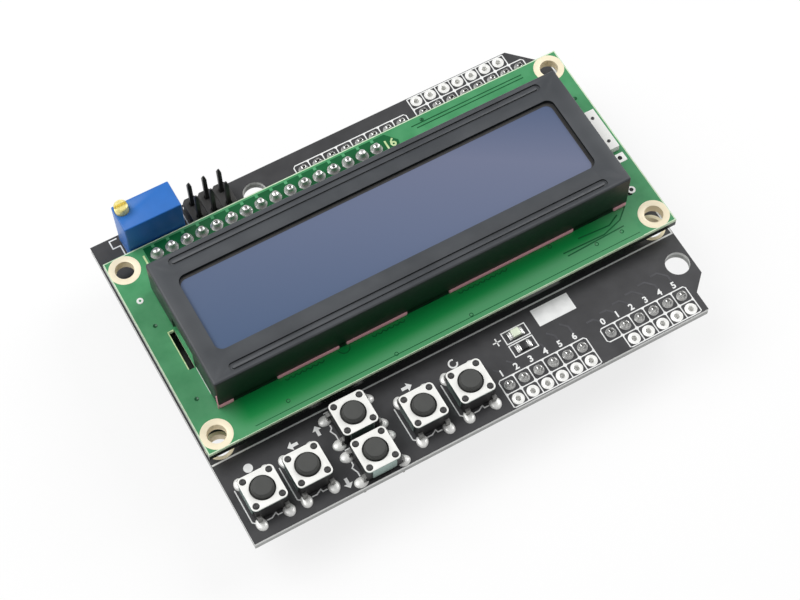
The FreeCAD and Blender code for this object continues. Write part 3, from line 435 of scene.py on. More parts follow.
def plate(loops, bottom, thickness, edge=0.0, steps=2):
    """A flat piece: the first outline less the others, its rims rounded by edge."""
    curve = bpy.data.curves.new("outline", "CURVE")
    curve.dimensions = "2D"
    curve.fill_mode = "BOTH"
    for number, loop in enumerate(loops):
        outward = area(loop) > 0
        points = loop if outward == (number == 0) else loop[::-1]
        spline = curve.splines.new("POLY")
        spline.points.add(len(points) - 1)
        for point, (x, y) in zip(spline.points, points):
            point.co = (x, y, 0, 1)
        spline.use_cyclic_u = True
    curve.extrude = thickness / 2 - edge
    curve.bevel_depth = edge
    curve.bevel_resolution = steps
    curve.offset = -edge
    holder = bpy.data.objects.new("outline", curve)
    bm = taken(holder)
    bpy.data.objects.remove(holder)
    bpy.data.curves.remove(curve)
    bmesh.ops.translate(bm, vec=(0, 0, bottom + thickness / 2), verts=bm.verts)
    return bm


def block(low, high, edge=0.05, steps=2):
    """A box with rounded edges."""
    bm = bmesh.new()
    bmesh.ops.create_cube(bm, size=1.0)
    low, high = Vector(low), Vector(high)
    bmesh.ops.scale(bm, vec=high - low, verts=bm.verts)
    bmesh.ops.translate(bm, vec=(low + high) / 2, verts=bm.verts)
    bmesh.ops.bevel(bm, geom=bm.edges, offset=edge, segments=steps, profile=0.5, affect="EDGES")
    return bm


def lathe(profile, x, y, sides=ROUND, ripple=None):
    """A turned form from (radius, height) points; open ends on the axis are closed there."""
    bm = bmesh.new()
    rings = []
    for step, (radius, height) in enumerate(profile):
        if radius < 1e-6:
            rings.append([bm.verts.new((x, y, height))])
            continue
        ring = []
        for i in range(sides):
            a = 2 * math.pi * i / sides
            r = radius * (1 + ripple(a, step)) if ripple else radius
            ring.append(bm.verts.new((x + r * math.cos(a), y + r * math.sin(a), height)))
        rings.append(ring)
    closed = profile[0][0] > 1e-6 and profile[-1][0] > 1e-6
    pairs = list(zip(rings, rings[1:])) + ([(rings[-1], rings[0])] if closed else [])
    for lower, upper in pairs:
        for i in range(sides):
            j = (i + 1) % sides
            if len(lower) == 1:
                bm.faces.new((lower[0], upper[i], upper[j]))
            elif len(upper) == 1:
                bm.faces.new((lower[i], lower[j], upper[0]))
            else:
                bm.faces.new((lower[i], lower[j], upper[j], upper[i]))
    return bm


def gather(forms):
    """Several closed forms as one mesh."""
    whole = bmesh.new()
    for form in forms:
        part = bpy.data.meshes.new("part")
        form.to_mesh(part)
        form.free()
        whole.from_mesh(part)
        bpy.data.meshes.remove(part)
    return whole


def carve(solid, cutters):
    """One form less some others."""
    def holder(form):
        mesh = bpy.data.meshes.new("form")
        bmesh.ops.recalc_face_normals(form, faces=form.faces)
        form.to_mesh(mesh)
        form.free()
        made = bpy.data.objects.new("form", mesh)
        bpy.context.scene.collection.objects.link(made)
        return made

    whole = holder(solid)
    tools = [holder(form) for form in cutters]
    for tool in tools:
        modifier = whole.modifiers.new("tool", "BOOLEAN")
        modifier.operation = "DIFFERENCE"
        modifier.solver = "EXACT"
        modifier.object = tool
    bpy.context.view_layer.update()
    graph = bpy.context.evaluated_depsgraph_get()
    bm = taken(whole.evaluated_get(graph))
    for thing in [whole] + tools:
        bpy.data.objects.remove(thing)
    return bm


def soften(bm, edge, steps=2, angle=40):
    """Round the sharp edges of a form."""
    sharp = [e for e in bm.edges if len(e.link_faces) == 2 and e.calc_face_angle(0) > math.radians(angle)]
    bmesh.ops.bevel(bm, geom=sharp, offset=edge, segments=steps, profile=0.5, affect="EDGES",
                    clamp_overlap=True)
    return bm


def ribbon(points, width, bottom, height, closed=False):
    """A line of even width along points, with mitred corners."""
    count = len(points)
    left, right = [], []
    for i, point in enumerate(points):
        here = Vector(point)
        before = Vector(points[i - 1]) if i or closed else None
        after = Vector(points[(i + 1) % count]) if i < count - 1 or closed else None
        ways = [(here - before).normalized()] if before is not None else []
        ways += [(after - here).normalized()] if after is not None else []
        way = sum(ways, Vector((0, 0))).normalized()
        normal = Vector((-way.y, way.x))
        reach = width / 2 / max(0.4, normal.dot(Vector((-ways[0].y, ways[0].x))))
        left.append(tuple(here + normal * reach))
        right.append(tuple(here - normal * reach))
    if closed:
        loops = sorted((left, right), key=lambda loop: -abs(area(loop)))
        return plate(loops, bottom, height)
    return plate([left + right[::-1]], bottom, height)


def arc(x, y, radius, start, stop, steps=10):
    """Points along part of a circle, between two angles in degrees."""
    span = [math.radians(start + (stop - start) * i / steps) for i in range(steps + 1)]
    return [(x + radius * math.cos(a), y + radius * math.sin(a)) for a in span]


def numeral(text, x, y, height, bottom):
    """Plain digits standing on a board, about a point."""
    letters = bpy.data.curves.new("digits", "FONT")
    letters.body = text
    letters.size = height / 0.7
    letters.align_x = letters.align_y = "CENTER"
    letters.extrude = PAINT
    letters.offset = 0.045
    letters.resolution_u = 2
    holder = bpy.data.objects.new("digits", letters)
    bm = taken(holder)
    bpy.data.objects.remove(holder)
    bpy.data.curves.remove(letters)
    bmesh.ops.translate(bm, vec=(x, y, bottom), verts=bm.verts)
    return bm


def finish_node(node, material):
    """Give a node of the frame its material."""
    shown = frame["nodes"][node]
    if not shown.material_slots:
        shown.data.materials.append(material)
    for held in shown.material_slots:
        held.material = material


# ---------------------------------------------------------------- boards and their copper

def ring_pad(x, y, hole, rim, low, high, lift=PLATING):
    """A plated hole: a ring on each face and the lining between them."""
    wall = min(0.06, hole * 0.12)
    return lathe((
        (hole - wall, low - lift / 2), (hole, low - lift), (rim - lift, low - lift), (rim, low + MASK),
        (hole + wall, low + MASK), (hole + wall, high - MASK), (rim, high - MASK),
        (rim - lift, high + lift), (hole, high + lift), (hole - wall, high + lift / 2),
    ), x, y, 40)


def display_corners():
    """The ringed holes at the display board's corners, clipped by its edges."""
    spread_x, spread_y = CORNER["dims"]["spacing_x_mm"] / 2, CORNER["dims"]["spacing_y_mm"] / 2
    centre = mount("display_corner_holes")
    inset = 0.12
    rings = []
    for sx in (-1, 1):
        for sy in (-1, 1):
            ring = ring_pad(centre.x + sx * spread_x, centre.y + sy * spread_y,
                            CORNER_RADIUS, 2.5, GREEN_LOW.z, GREEN_TOP, 0.035)
            for vert in ring.verts:
                vert.co.x = max(GREEN_LOW.x + inset, min(GREEN_HIGH.x - inset, vert.co.x))
                vert.co.y = max(GREEN_LOW.y + inset, min(GREEN_HIGH.y - inset, vert.co.y))
            rings.append(ring)
    piece("display_corner_pads", rings, GOLD_PAD)


def spare_pads():
    """The bare plated holes one pitch outside three of the plug rows."""
    pads = []
    for row, shift, missing in (("power", -PITCH, 0), ("analog", -PITCH, 1), ("low", PITCH, -1)):
        places = grid(row + "_pin_strip")
        places = places[missing:] if missing >= 0 else places[:missing]
        for x, y in places:
            pad = ring_pad(x, y + shift, 0.5, 1.0, BOARD_LOW.z, TOP)
            for vert in pad.verts:
                vert.co.x, vert.co.y = within([vert.co.xy], 0.1)[0]
            pads.append(pad)
    piece("spare_pads", pads, PAD_TIN)


def solder_joint(x, y, base, up, rim=0.86, height=1.05, waist=0.42, seed=0):
    """One solder cone that climbs a pin, a little uneven."""
    rng = random.Random(seed)
    phase, bulge = rng.uniform(0, 6.28), rng.uniform(0.02, 0.06)
    tall = height * rng.uniform(0.9, 1.08)

    def uneven(angle, step):
        return bulge * math.sin(2 * angle + phase) + 0.02 * math.sin(5 * angle + phase * step)

    shape = ((rim, -0.03), (rim * 0.99, 0.04), (rim * 0.84, 0.14), (rim * 0.68, 0.3), (waist + 0.1, 0.52),
             (waist + 0.03, 0.75), (waist * 0.97, 0.93), (waist * 0.6, 1.0), (0.0, 1.02))
    profile = [(0.0, base - up * 0.03)]
    profile += [(radius, base + up * (rise if rise < 0 else rise * tall)) for radius, rise in shape]
    return lathe(profile, x, y, 20, uneven)


def solder_rows():
    """Solder at each pin: on top where the strips are below, and below where they are above."""
    for row in PLUG_ROWS:
        cones = [solder_joint(x, y, TOP, 1, seed=i + len(row) * 50)
                 for i, (x, y) in enumerate(grid(row + "_pin_strip"))]
        piece(row + "_solder", cones, SOLDER)
    under = BOARD_LOW.z
    places = grid("display_pin_strip")
    cones = [solder_joint(x, y, GREEN_TOP, 1, 1.02, 1.2, 0.5, seed=400 + i)
             for i, (x, y) in enumerate(places)]
    piece("display_solder", cones, SOLDER)
    below = places + grid("block_pin_strip", 2)
    cones = [solder_joint(x, y, under, -1, seed=500 + i) for i, (x, y) in enumerate(below)]
    lead_middle = middle("trimmer_leads")
    for i in (-1, 0, 1):
        cones.append(solder_joint(lead_middle.x + PITCH * i, lead_middle.y, under, -1, seed=600 + i))
    piece("underside_solder", cones, SOLDER)


def key_places():
    """Each push button: its name, the middle of its box and whether it is turned."""
    return [(key, middle(key + "_base"), key in TURNED) for key in KEYS]


def leg_places(centre, turned):
    """The four legs of a push button where they enter the board."""
    pitch, spread = 4.5, 6.5
    places = [(sx * pitch / 2, sy * spread / 2) for sy in (-1, 1) for sx in (-1, 1)]
    return [(centre.x + (v if turned else u), centre.y + (u if turned else v)) for u, v in places]


def leg_drop(x, y, out, run, seed):
    """Solder that has run outward from a leg: a low oval mound."""
    rng = random.Random(seed)
    phase = rng.uniform(0, 6.28)
    shape = ((0.0, -0.03), (0.86, -0.03), (0.86, 0.05), (0.8, 0.16), (0.66, 0.27), (0.42, 0.35), (0.0, 0.38))

    def uneven(angle, step):
        return 0.04 * math.sin(2 * angle + phase) + 0.02 * math.sin(3 * angle - phase)

    drop = lathe([(radius, TOP + rise) for radius, rise in shape], 0, 0, 28, uneven)
    bmesh.ops.scale(drop, vec=(1.26, 1.04, 1.0), verts=drop.verts)
    turn = math.atan2(out.y, out.x)
    bmesh.ops.rotate(drop, matrix=Matrix.Rotation(turn, 3, "Z"), verts=drop.verts)
    bmesh.ops.translate(drop, vec=(x + out.x * run, y + out.y * run, 0), verts=drop.verts)
    return drop


def leg_solder():
    """A bright mound at each leg on top, and a cone below."""
    drops, cones = [], []
    for number, (_, centre, turned) in enumerate(key_places()):
        out = Vector((1, 0)) if turned else Vector((0, 1))
        for i, (x, y) in enumerate(leg_places(centre, turned)):
            seed = 700 + number * 10 + i
            away = 1 if out.dot(Vector((x - centre.x, y - centre.y))) > 0 else -1
            drops.append(leg_drop(x, y, out * away, 0.12 if away > 0 else 0.38, seed))
            cones.append(solder_joint(x, y, BOARD_LOW.z, -1, 0.88, 1.25, seed=seed))
    piece("leg_solder", drops, PAD_TIN)
    piece("leg_solder_below", cones, SOLDER)


def fixing_holes():
    """The two plain fixing holes are bare board; the two under the display are ringed."""
    posts = HOLES["post_holes"]
    centre = mount("post_holes")
    radius = posts["dims"]["hole_r_mm"]
    half = posts["dims"]["spacing_x_mm"] / 2
    rings = [ring_pad(centre.x + side * half, centre.y, radius, 2.3, BOARD_LOW.z, TOP, 0.03)
             for side in (-1, 1)]
    piece("post_pads", rings, GOLD_PAD)


def green_copper():
    """Copper under the green resist: a broad field, tracks, gaps between them and vias; also a painted shade
    by the frame's front wall and a painted highlight round the board's rim.
    """
    front, back = SHELL_LOW.y, SHELL_HIGH.y
    left, right = SHELL_LOW.x, SHELL_HIGH.x
    low, high = GREEN_LOW, GREEN_HIGH
    z = GREEN_TOP
    shadow = [(left + 0.4, front + 1.0), (right - 0.6, front + 1.0), (right - 0.6, low.y + 0.1),
              (left + 0.4, low.y + 0.1)]
    band = [(-31.5, back - 1.0), (8.6, back - 1.0), (10.0, high.y - 2.4), (8.4, high.y - 0.5),
            (-33.5, high.y - 0.5), (-33.5, high.y - 4.0)]
    # The front field is painted shade of the frame's front wall.
    piece("green_front_wall_shade", plate([shadow], z - MASK, 2 * MASK), GREEN_WALL_SHADE)
    piece("green_back_field", plate([band], z - MASK, 2 * MASK), GREEN_GAP)

    tracks = [ribbon(((x, y + 1.3), (x, high.y - 0.5)), 0.5, z - 0.01, 0.01 + 1.5 * MASK)
              for x, y in grid("display_pin_strip")]
    piece("green_tracks", tracks, GREEN_COPPER)

    lift = 2 * MASK
    gaps = []
    tracks = (((21.8, -10.75), (29.0, -10.95), (32.4, -9.95), (34.3, -8.3), (35.6, -5.2)),
              ((25.1, -9.6), (30.5, -9.95), (32.5, -8.95)), ((22.2, -11.45), (32.4, -11.1)))
    gaps += [ribbon(points, 0.22, z, lift) for points in tracks]
    for i in range(2):
        gaps.append(ribbon(((12.9 + i * 0.7, high.y - 1.4 - i * 0.6), (33.0, high.y - 1.4 - i * 0.6)),
                           0.16, z, lift))
    spots = [(-37.6, 8.62), (-37.54, -5.15), (-26.0, -12.0), (-8.5, -13.1), (4.4, -12.9), (20.63, -8.7),
             (31.6, -11.8), (27.1, -11.8), (15.0, 20.9), (22.5, 17.2), (37.4, -4.4), (38.1, 12.4)]
    gaps += [lathe(((0.0, z + 0.01), (0.17, z + 0.01), (0.25, z + lift), (0.34, z + lift), (0.34, z),
                    (0.0, z - 0.05)), x, y, 18) for x, y in spots]
    piece("green_gaps", gaps, GREEN_GAP)

    gaps = []
    dark_y = low.y + 0.85
    gaps.append(ribbon(((-32.0, dark_y), (34.0, dark_y)), 0.12, z, lift))
    for first, count in ((-24.4, 7), (-9.8, 6), (5.0, 9)):
        for i in range(count):
            x = first + 0.95 * i
            gaps.append(ribbon(arc(x, front - 0.45, 0.4, 190, 350, 8), 0.14, z, lift))
    gaps.append(ribbon(arc(SHELL_LOW.x + 20.6, front - 0.2, 0.95, 185, 355, 12), 0.14, z, lift))
    piece("green_fine_gaps", gaps, GREEN_GAP)
    # A pale strip round the board's rim: painted highlight along its edge.
    edge = ribbon(((low.x + 0.1, low.y + 0.1), (high.x - 0.1, low.y + 0.1), (high.x - 0.1, high.y - 0.1),
                   (low.x + 0.1, high.y - 0.1)), 0.16, z - MASK, 1.8 * MASK, closed=True)
    piece("green_edge_highlight", edge, EDGE_HIGHLIGHT_PAINT)

    bare = [lathe(((hole, z - 0.3), (hole, z + PLATING), (rim, z + PLATING), (rim + 0.06, z - 0.02)),
                  x, y, 24)
            for hole, rim, x, y in ((0.2, 0.5, -37.73, 13.53), (0.34, 0.62, 36.85, -6.23))]
    square = rounded(38.37, -0.49, 1.9, 1.6, 0.1, 3)
    bare.append(plate([square, circle(38.37, -0.49, 0.38, 20)], z - 0.02, PLATING + 0.02))
    piece("green_bare_pads", bare, PAD_TIN)
    mouths = [plate([circle(x, y, radius, 20)], z - 0.02, 0.03)
              for x, y, radius in ((38.37, -0.49, 0.38), (36.85, -6.23, 0.33))]
    piece("green_pad_mouths", mouths, RESIN)


def dark_tracks():
    """Tracks under the dark resist, seen as faint raised lines on the board's front and underside."""
    z = TOP
    lines = []
    for i, (x, y) in enumerate(grid("power_pin_strip")):
        lines.append(ribbon(((x, y + 1.5), (x, y + 2.3 + 0.35 * i), (x - 1.0, y + 3.3 + 0.35 * i)),
                            0.3, z - MASK, 2 * MASK))
    for i, (x, y) in enumerate(grid("analog_pin_strip")):
        lines.append(ribbon(((x, y + 1.5), (x, y + 2.0 + 0.4 * i), (x - 1.2, y + 3.2 + 0.4 * i),
                             (x - 2.4, y + 3.2 + 0.4 * i)), 0.3, z - MASK, 2 * MASK))
    under = BOARD_LOW.z
    back = grid("low_pin_strip") + grid("high_pin_strip")
    for i, (x, y) in enumerate(back):
        reach = 3.0 + 0.7 * (i % 8)
        lines.append(ribbon(((x, y - 1.4), (x, y - reach), (x - 3.0, y - reach - 3.0), (x - 3.0, y - 24)),
                            0.3, under - MASK, 2 * MASK))
    for _, centre, turned in key_places():
        x = centre.x + (0.0 if turned else 2.25)
        lines.append(ribbon(((x, centre.y + 4.4), (x, centre.y + 6.0), (x + 1.4, centre.y + 7.4)),
                            0.4, under - MASK, 2 * MASK))
    piece("dark_tracks", lines, DARK_COPPER)


# ---------------------------------------------------------------- print

def within(loop, inset):
    """A loop held this far inside the carrier board's front and back edges."""
    return [(x, max(BOARD_LOW.y + inset, min(BOARD_HIGH.y - inset, y))) for x, y in loop]


def cell_grid(places):
    """White outlines round a block of pads: one outer line and a window for each pad."""
    reach, cut = (PITCH - LINE) / 2, 0.22
    windows = [within(cut_square(x, y, reach, reach, cut), 0.3) for x, y in places]
    outer = outline_of(places, (PITCH + LINE) / 2, 0.4)
    return plate([within(outer, 0.12)] + windows, TOP - PAINT, 2 * PAINT)


def cut_square(x, y, wide, deep, cut):
    """A rectangle about a point with its corners cut, from the left of its front edge round."""
    return [(x - wide, y - deep + cut), (x - wide + cut, y - deep), (x + wide - cut, y - deep),
            (x + wide, y - deep + cut), (x + wide, y + deep - cut), (x + wide - cut, y + deep),
            (x - wide + cut, y + deep), (x - wide, y + deep - cut)]


def outline_of(places, reach, cut):
    """The outer edge of a block of cells, with its corners cut."""
    rows = {}
    for x, y in places:
        rows.setdefault(round(y, 3), []).append(x)
    half = PITCH / 2
    grow = reach - half
    left, right = [], []
    for row, across in sorted(rows.items()):
        left += [(min(across) - reach, row - half), (min(across) - reach, row + half)]
        right += [(max(across) + reach, row - half), (max(across) + reach, row + half)]
    for side in (left, right):
        side[0] = (side[0][0], side[0][1] - grow)
        side[-1] = (side[-1][0], side[-1][1] + grow)
        for i in range(1, len(side) - 2, 2):
            if abs(side[i][0] - side[i + 1][0]) > 1e-6:
                wider_below = (side[i][0] > side[i + 1][0]) == (side is right)
                shift = grow if wider_below else -grow
                side[i] = (side[i][0], side[i][1] + shift)
                side[i + 1] = (side[i + 1][0], side[i + 1][1] + shift)

    def with_ends(loop):
        for i, point in enumerate(loop):
            here = Vector(point)
            yield here, Vector(loop[i - 1]) - here, Vector(loop[(i + 1) % len(loop)]) - here

    loop = right + left[::-1]
    loop = [point for i, point in enumerate(loop) if Vector(point) != Vector(loop[i - 1])]
    loop = [tuple(here) for here, back, on in with_ends(loop)
            if abs(back.normalized().cross(on.normalized())) > 1e-4]
    result = []
    for here, back, on in with_ends(loop):
        if on.cross(back) > 0:
            result += [tuple(here + back.normalized() * cut), tuple(here + on.normalized() * cut)]
        else:
            result.append(tuple(here))
    return result


def pad_print():
    """The cells round every pin and pad of the plug rows."""
    power, analog = grid("power_pin_strip"), grid("analog_pin_strip")
    low, high = grid("low_pin_strip"), grid("high_pin_strip")
    blocks = {
        "power": power + [(x, y - PITCH) for x, y in power],
        "analog": analog + [(x, y - PITCH) for x, y in analog[1:]],
        "low": low + [(x, y + PITCH) for x, y in low[:-1]],
        "high": high,
    }
    for name, places in blocks.items():
        piece(name + "_cell_print", cell_grid(places), PRINT)


def box_line(low, high):
    """A rectangle drawn as a line."""
    return ribbon(((low[0], low[1]), (high[0], low[1]), (high[0], high[1]), (low[0], high[1])), LINE,
                  TOP - PAINT, 2 * PAINT, closed=True)


def line(points, width=LINE):
    """A printed line on the carrier board."""
    return ribbon(points, width, TOP - PAINT, 2 * PAINT)


def board_print():
    """Lines and fields on the carrier board: the display's outline, boxes and marks."""
    front = GREEN_LOW.y + 0.05
    right = GREEN_HIGH.x - 0.2
    forms = [line(((BOARD_LOW.x + 0.1, front), (right, front), (right, GREEN_HIGH.y - 0.2)), 0.26)]
    lamp, resistor = middle("power_lamp"), middle("lamp_resistor")
    for centre in (lamp, resistor):
        forms.append(box_line((centre.x - 2.0, centre.y - 1.02), (centre.x + 2.0, centre.y + 1.02)))
    plus = Vector((lamp.x - 3.2, lamp.y + 0.1))
    forms.append(line(((plus.x - 0.7, plus.y), (plus.x + 0.7, plus.y)), 0.2))
    forms.append(line(((plus.x, plus.y - 0.7), (plus.x, plus.y + 0.7)), 0.2))
    forms.append(plate([rounded(16.83, -16.42, 6.45, 3.05, 0.05)], TOP - PAINT, 2 * PAINT))
    piece("board_print", forms, PRINT)


def key_print():
    """The line beside each push button and the contact sign between two of its pads."""
    forms = []
    for _, centre, turned in key_places():
        if turned:
            side = [(centre.x + 2.6, centre.y + 3.35), (centre.x - 3.35, centre.y + 3.35)]
            if centre.y - 3.6 > BOARD_LOW.y:
                forms.append(line([(centre.x - 2.2, centre.y - 3.35), (centre.x + 2.6, centre.y - 3.35)]))
            gap = [(centre.x - 3.35, centre.y - 1.3), (centre.x - 3.35, centre.y - 0.55),
                   (centre.x - 3.75, centre.y + 0.35), (centre.x - 3.35, centre.y + 0.75),
                   (centre.x - 3.35, centre.y + 1.3)]
        else:
            side = [(centre.x - 3.35, centre.y + 2.9), (centre.x - 3.35, centre.y - 2.75),
                    (centre.x - 2.75, centre.y - 3.3)]
            gap = [(centre.x - 1.3, centre.y - 3.45), (centre.x - 0.45, centre.y - 3.45),
                   (centre.x + 0.35, centre.y - 3.0), (centre.x + 0.5, centre.y - 3.45),
                   (centre.x + 1.25, centre.y - 3.45)]
        forms.append(line(side))
        forms.append(line(gap, 0.2))
    piece("key_print", forms, PRINT)


def arrow(x, y, turn):
    """A plain arrow that points along its turn, in degrees from +X."""
    angle, half = math.radians(turn), 0.86
    shape = ((1.0, 0.0), (0.1, 0.85), (0.1, 0.3), (-1.0, 0.3), (-1.0, -0.3), (0.1, -0.3), (0.1, -0.85))
    loop = [(x + half * (u * math.cos(angle) - v * math.sin(angle)),
             y + half * (u * math.sin(angle) + v * math.cos(angle))) for u, v in shape]
    return plate([loop], TOP - PAINT, 2 * PAINT)


def key_marks():
    """Plain signs by the push buttons: a dot, arrows and a broken ring."""
    places = {key: centre for key, centre, _ in key_places()}
    forms = [plate([circle(places["select"].x, places["select"].y + 5.1, 0.72)], TOP - PAINT, 2 * PAINT)]
    forms.append(arrow(places["left"].x, places["left"].y + 5.1, 180))
    forms.append(arrow(places["up"].x - 5.4, places["up"].y + 1.4, 90))
    forms.append(arrow(places["down"].x - 5.4, places["down"].y - 1.4, 270))
    forms.append(arrow(places["right"].x, places["right"].y + 5.1, 0))
    reset = places["reset"]
    forms.append(line(arc(reset.x, reset.y + 5.1, 0.66, 60, 360, 16), 0.26))
    piece("key_marks", forms, PRINT)


def pin_numbers():
    """Plain numbers beside the pins, one to a cell."""
    forms = []
    for i, (x, y) in enumerate(grid("power_pin_strip")):
        forms.append(numeral(str(i + 1), x - 0.1, y + 2.15, 1.05, TOP))
    for i, (x, y) in enumerate(grid("analog_pin_strip")):
        forms.append(numeral(str(i), x - 0.1, y + 2.15, 1.05, TOP))
    piece("pin_numbers", forms, PRINT)


def display_numbers():
    """The numbers of the first and last pin on the green board."""
    places = grid("display_pin_strip")
    y = places[0][1]
    forms = [numeral("1", places[0][0] - 2.0, y - 0.2, 1.5, GREEN_TOP),
             numeral("16", places[-1][0] + 2.3, y - 0.2, 1.5, GREEN_TOP)]
    piece("display_numbers", forms, PALE_PRINT)


def header_print():
    """The outline of the trimmer and two short lines left of the header."""
    low, high = corners("trimmer_housing")
    forms = [line(((low.x - 0.3, high.y + 0.45), (low.x - 1.55, high.y + 0.45), (low.x - 1.55, high.y - 1.0),
                   (low.x - 0.3, high.y - 1.0), (low.x - 0.3, low.y + 0.2)), 0.2)]
    block_low, block_high = corners("block_pin_strip")
    forms.append(line(((low.x + 11.2, block_low.y - 0.2), (low.x + 11.2, block_high.y + 0.3)), 0.16))
    forms.append(line(((low.x + 10.6, block_low.y - 0.2), (low.x + 10.6, block_high.y + 0.3)), 0.16))
    piece("header_print", forms, PRINT)


# ---------------------------------------------------------------- push buttons

def turned_about(bm, centre, turned):
    """Turn a form a quarter about a button's middle."""
    if turned:
        bmesh.ops.rotate(bm, cent=(centre.x, centre.y, 0), matrix=Matrix.Rotation(math.pi / 2, 3, "Z"),
                         verts=bm.verts)
    return bm


def key_cover(key, centre, turned):
    """The folded steel cover: a plate with round corners and holes, and a wing down two sides."""
    low, high = corners(key + "_cover")
    half = (high.x - low.x) / 2
    sheet, hole, wing = 0.3, 1.95, 2.0
    loops = [rounded(centre.x, centre.y, 2 * half, 2 * half, 0.75, 8), circle(centre.x, centre.y, hole, 48)]
    loops += [circle(x, y, 0.5, 24) for x, y in peg_places(centre, half)]
    forms = [plate(loops, high.z - sheet, sheet, 0.09, 3)]
    for side in (-1, 1):
        walls = sorted((centre.x + side * half, centre.x + side * (half - sheet)))
        forms.append(block((walls[0], centre.y - wing, low.z),
                           (walls[1], centre.y + wing, high.z - sheet / 2), 0.08, 3))
    cover = turned_about(gather(forms), centre, turned)
    piece(key + "_cover_plate", cover, PLATE, (key + "_cover",))


def peg_places(centre, half):
    """Where the pegs of a push button stand under its cover."""
    reach = half - 0.78
    return [(centre.x + sx * reach, centre.y + sy * reach) for sx in (-1, 1) for sy in (-1, 1)]


def key_pegs(key, centre):
    """The four moulded pegs whose heads hold the cover down."""
    low, high = corners(key + "_cover")
    shape = ((0.0, -0.4), (0.44, -0.4), (0.44, 0.02), (0.4, 0.1), (0.3, 0.13), (0.24, 0.09), (0.0, 0.06))
    pegs = [lathe([(radius, high.z + rise) for radius, rise in shape], x, y, 20)
            for x, y in peg_places(centre, (high.x - low.x) / 2)]
    piece(key + "_pegs", pegs, KEY_PEG)


def snap_dome(key, turned):
    """The sprung strip under the cap, which flattens as the cap goes down."""
    low, high = corners(key + "_dome")
    centre = (low + high) / 2
    sheet, steps = 0.1, 16
    long, wide = (high.y - low.y, high.x - low.x) if turned else (high.x - low.x, high.y - low.y)
    rise = high.z - low.z - sheet
    outline = []
    for i in range(steps + 1):
        u = long * (i / steps - 0.5)
        away = max(0.0, (abs(2 * u / long) - 0.3) / 0.7)
        outline.append((u, low.z + rise * math.cos(away * math.pi / 2)))
    bm = bmesh.new()
    rings = [[bm.verts.new((centre.x + u, centre.y + side * wide / 2, z + up))
              for side, up in ((-1, 0.0), (1, 0.0), (1, sheet), (-1, sheet))] for u, z in outline]
    for before, after in zip(rings, rings[1:]):
        for i in range(4):
            bm.faces.new((before[i], before[(i + 1) % 4], after[(i + 1) % 4], after[i]))
    bm.faces.new(rings[0][::-1])
    bm.faces.new(rings[-1])
    dome = piece(key + "_snap_dome", turned_about(bm, centre, turned), SPRING,
                 (key + "_dome",))
    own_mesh(dome)


def key_cap(key, centre):
    """The pressed cap: a slightly hollow round top with a rounded rim, and its square flange."""
    low, high = corners(key + "_cap")
    cover_top = corners(key + "_cover")[1].z
    radius = 1.75
    top, foot = high.z, cover_top - 0.34
    shape = ((0.0, foot - 0.5), (radius - 0.02, foot - 0.5), (radius, foot), (radius, cover_top + 0.06),
             (radius - 0.05, cover_top + 0.12), (radius - 0.16, top - 0.2), (radius - 0.2, top - 0.1),
             (radius - 0.3, top - 0.01), (radius - 0.34, top), (0.6, top - 0.03), (0.0, top - 0.035))
    stem = lathe(shape, centre.x, centre.y, 56)
    half = (high.x - low.x) / 2
    flange = block((centre.x - half, centre.y - half, foot - 0.74),
                   (centre.x + half, centre.y + half, foot - 0.02), 0.1)
    nib = block((centre.x - 0.6, centre.y - 0.6, low.z), (centre.x + 0.6, centre.y + 0.6, foot - 0.6), 0.08)
    piece(key + "_cap_top", [stem, flange, nib], KEY_CAP, (key + "_cap",), key + "_key")


# ---------------------------------------------------------------- the display's frame

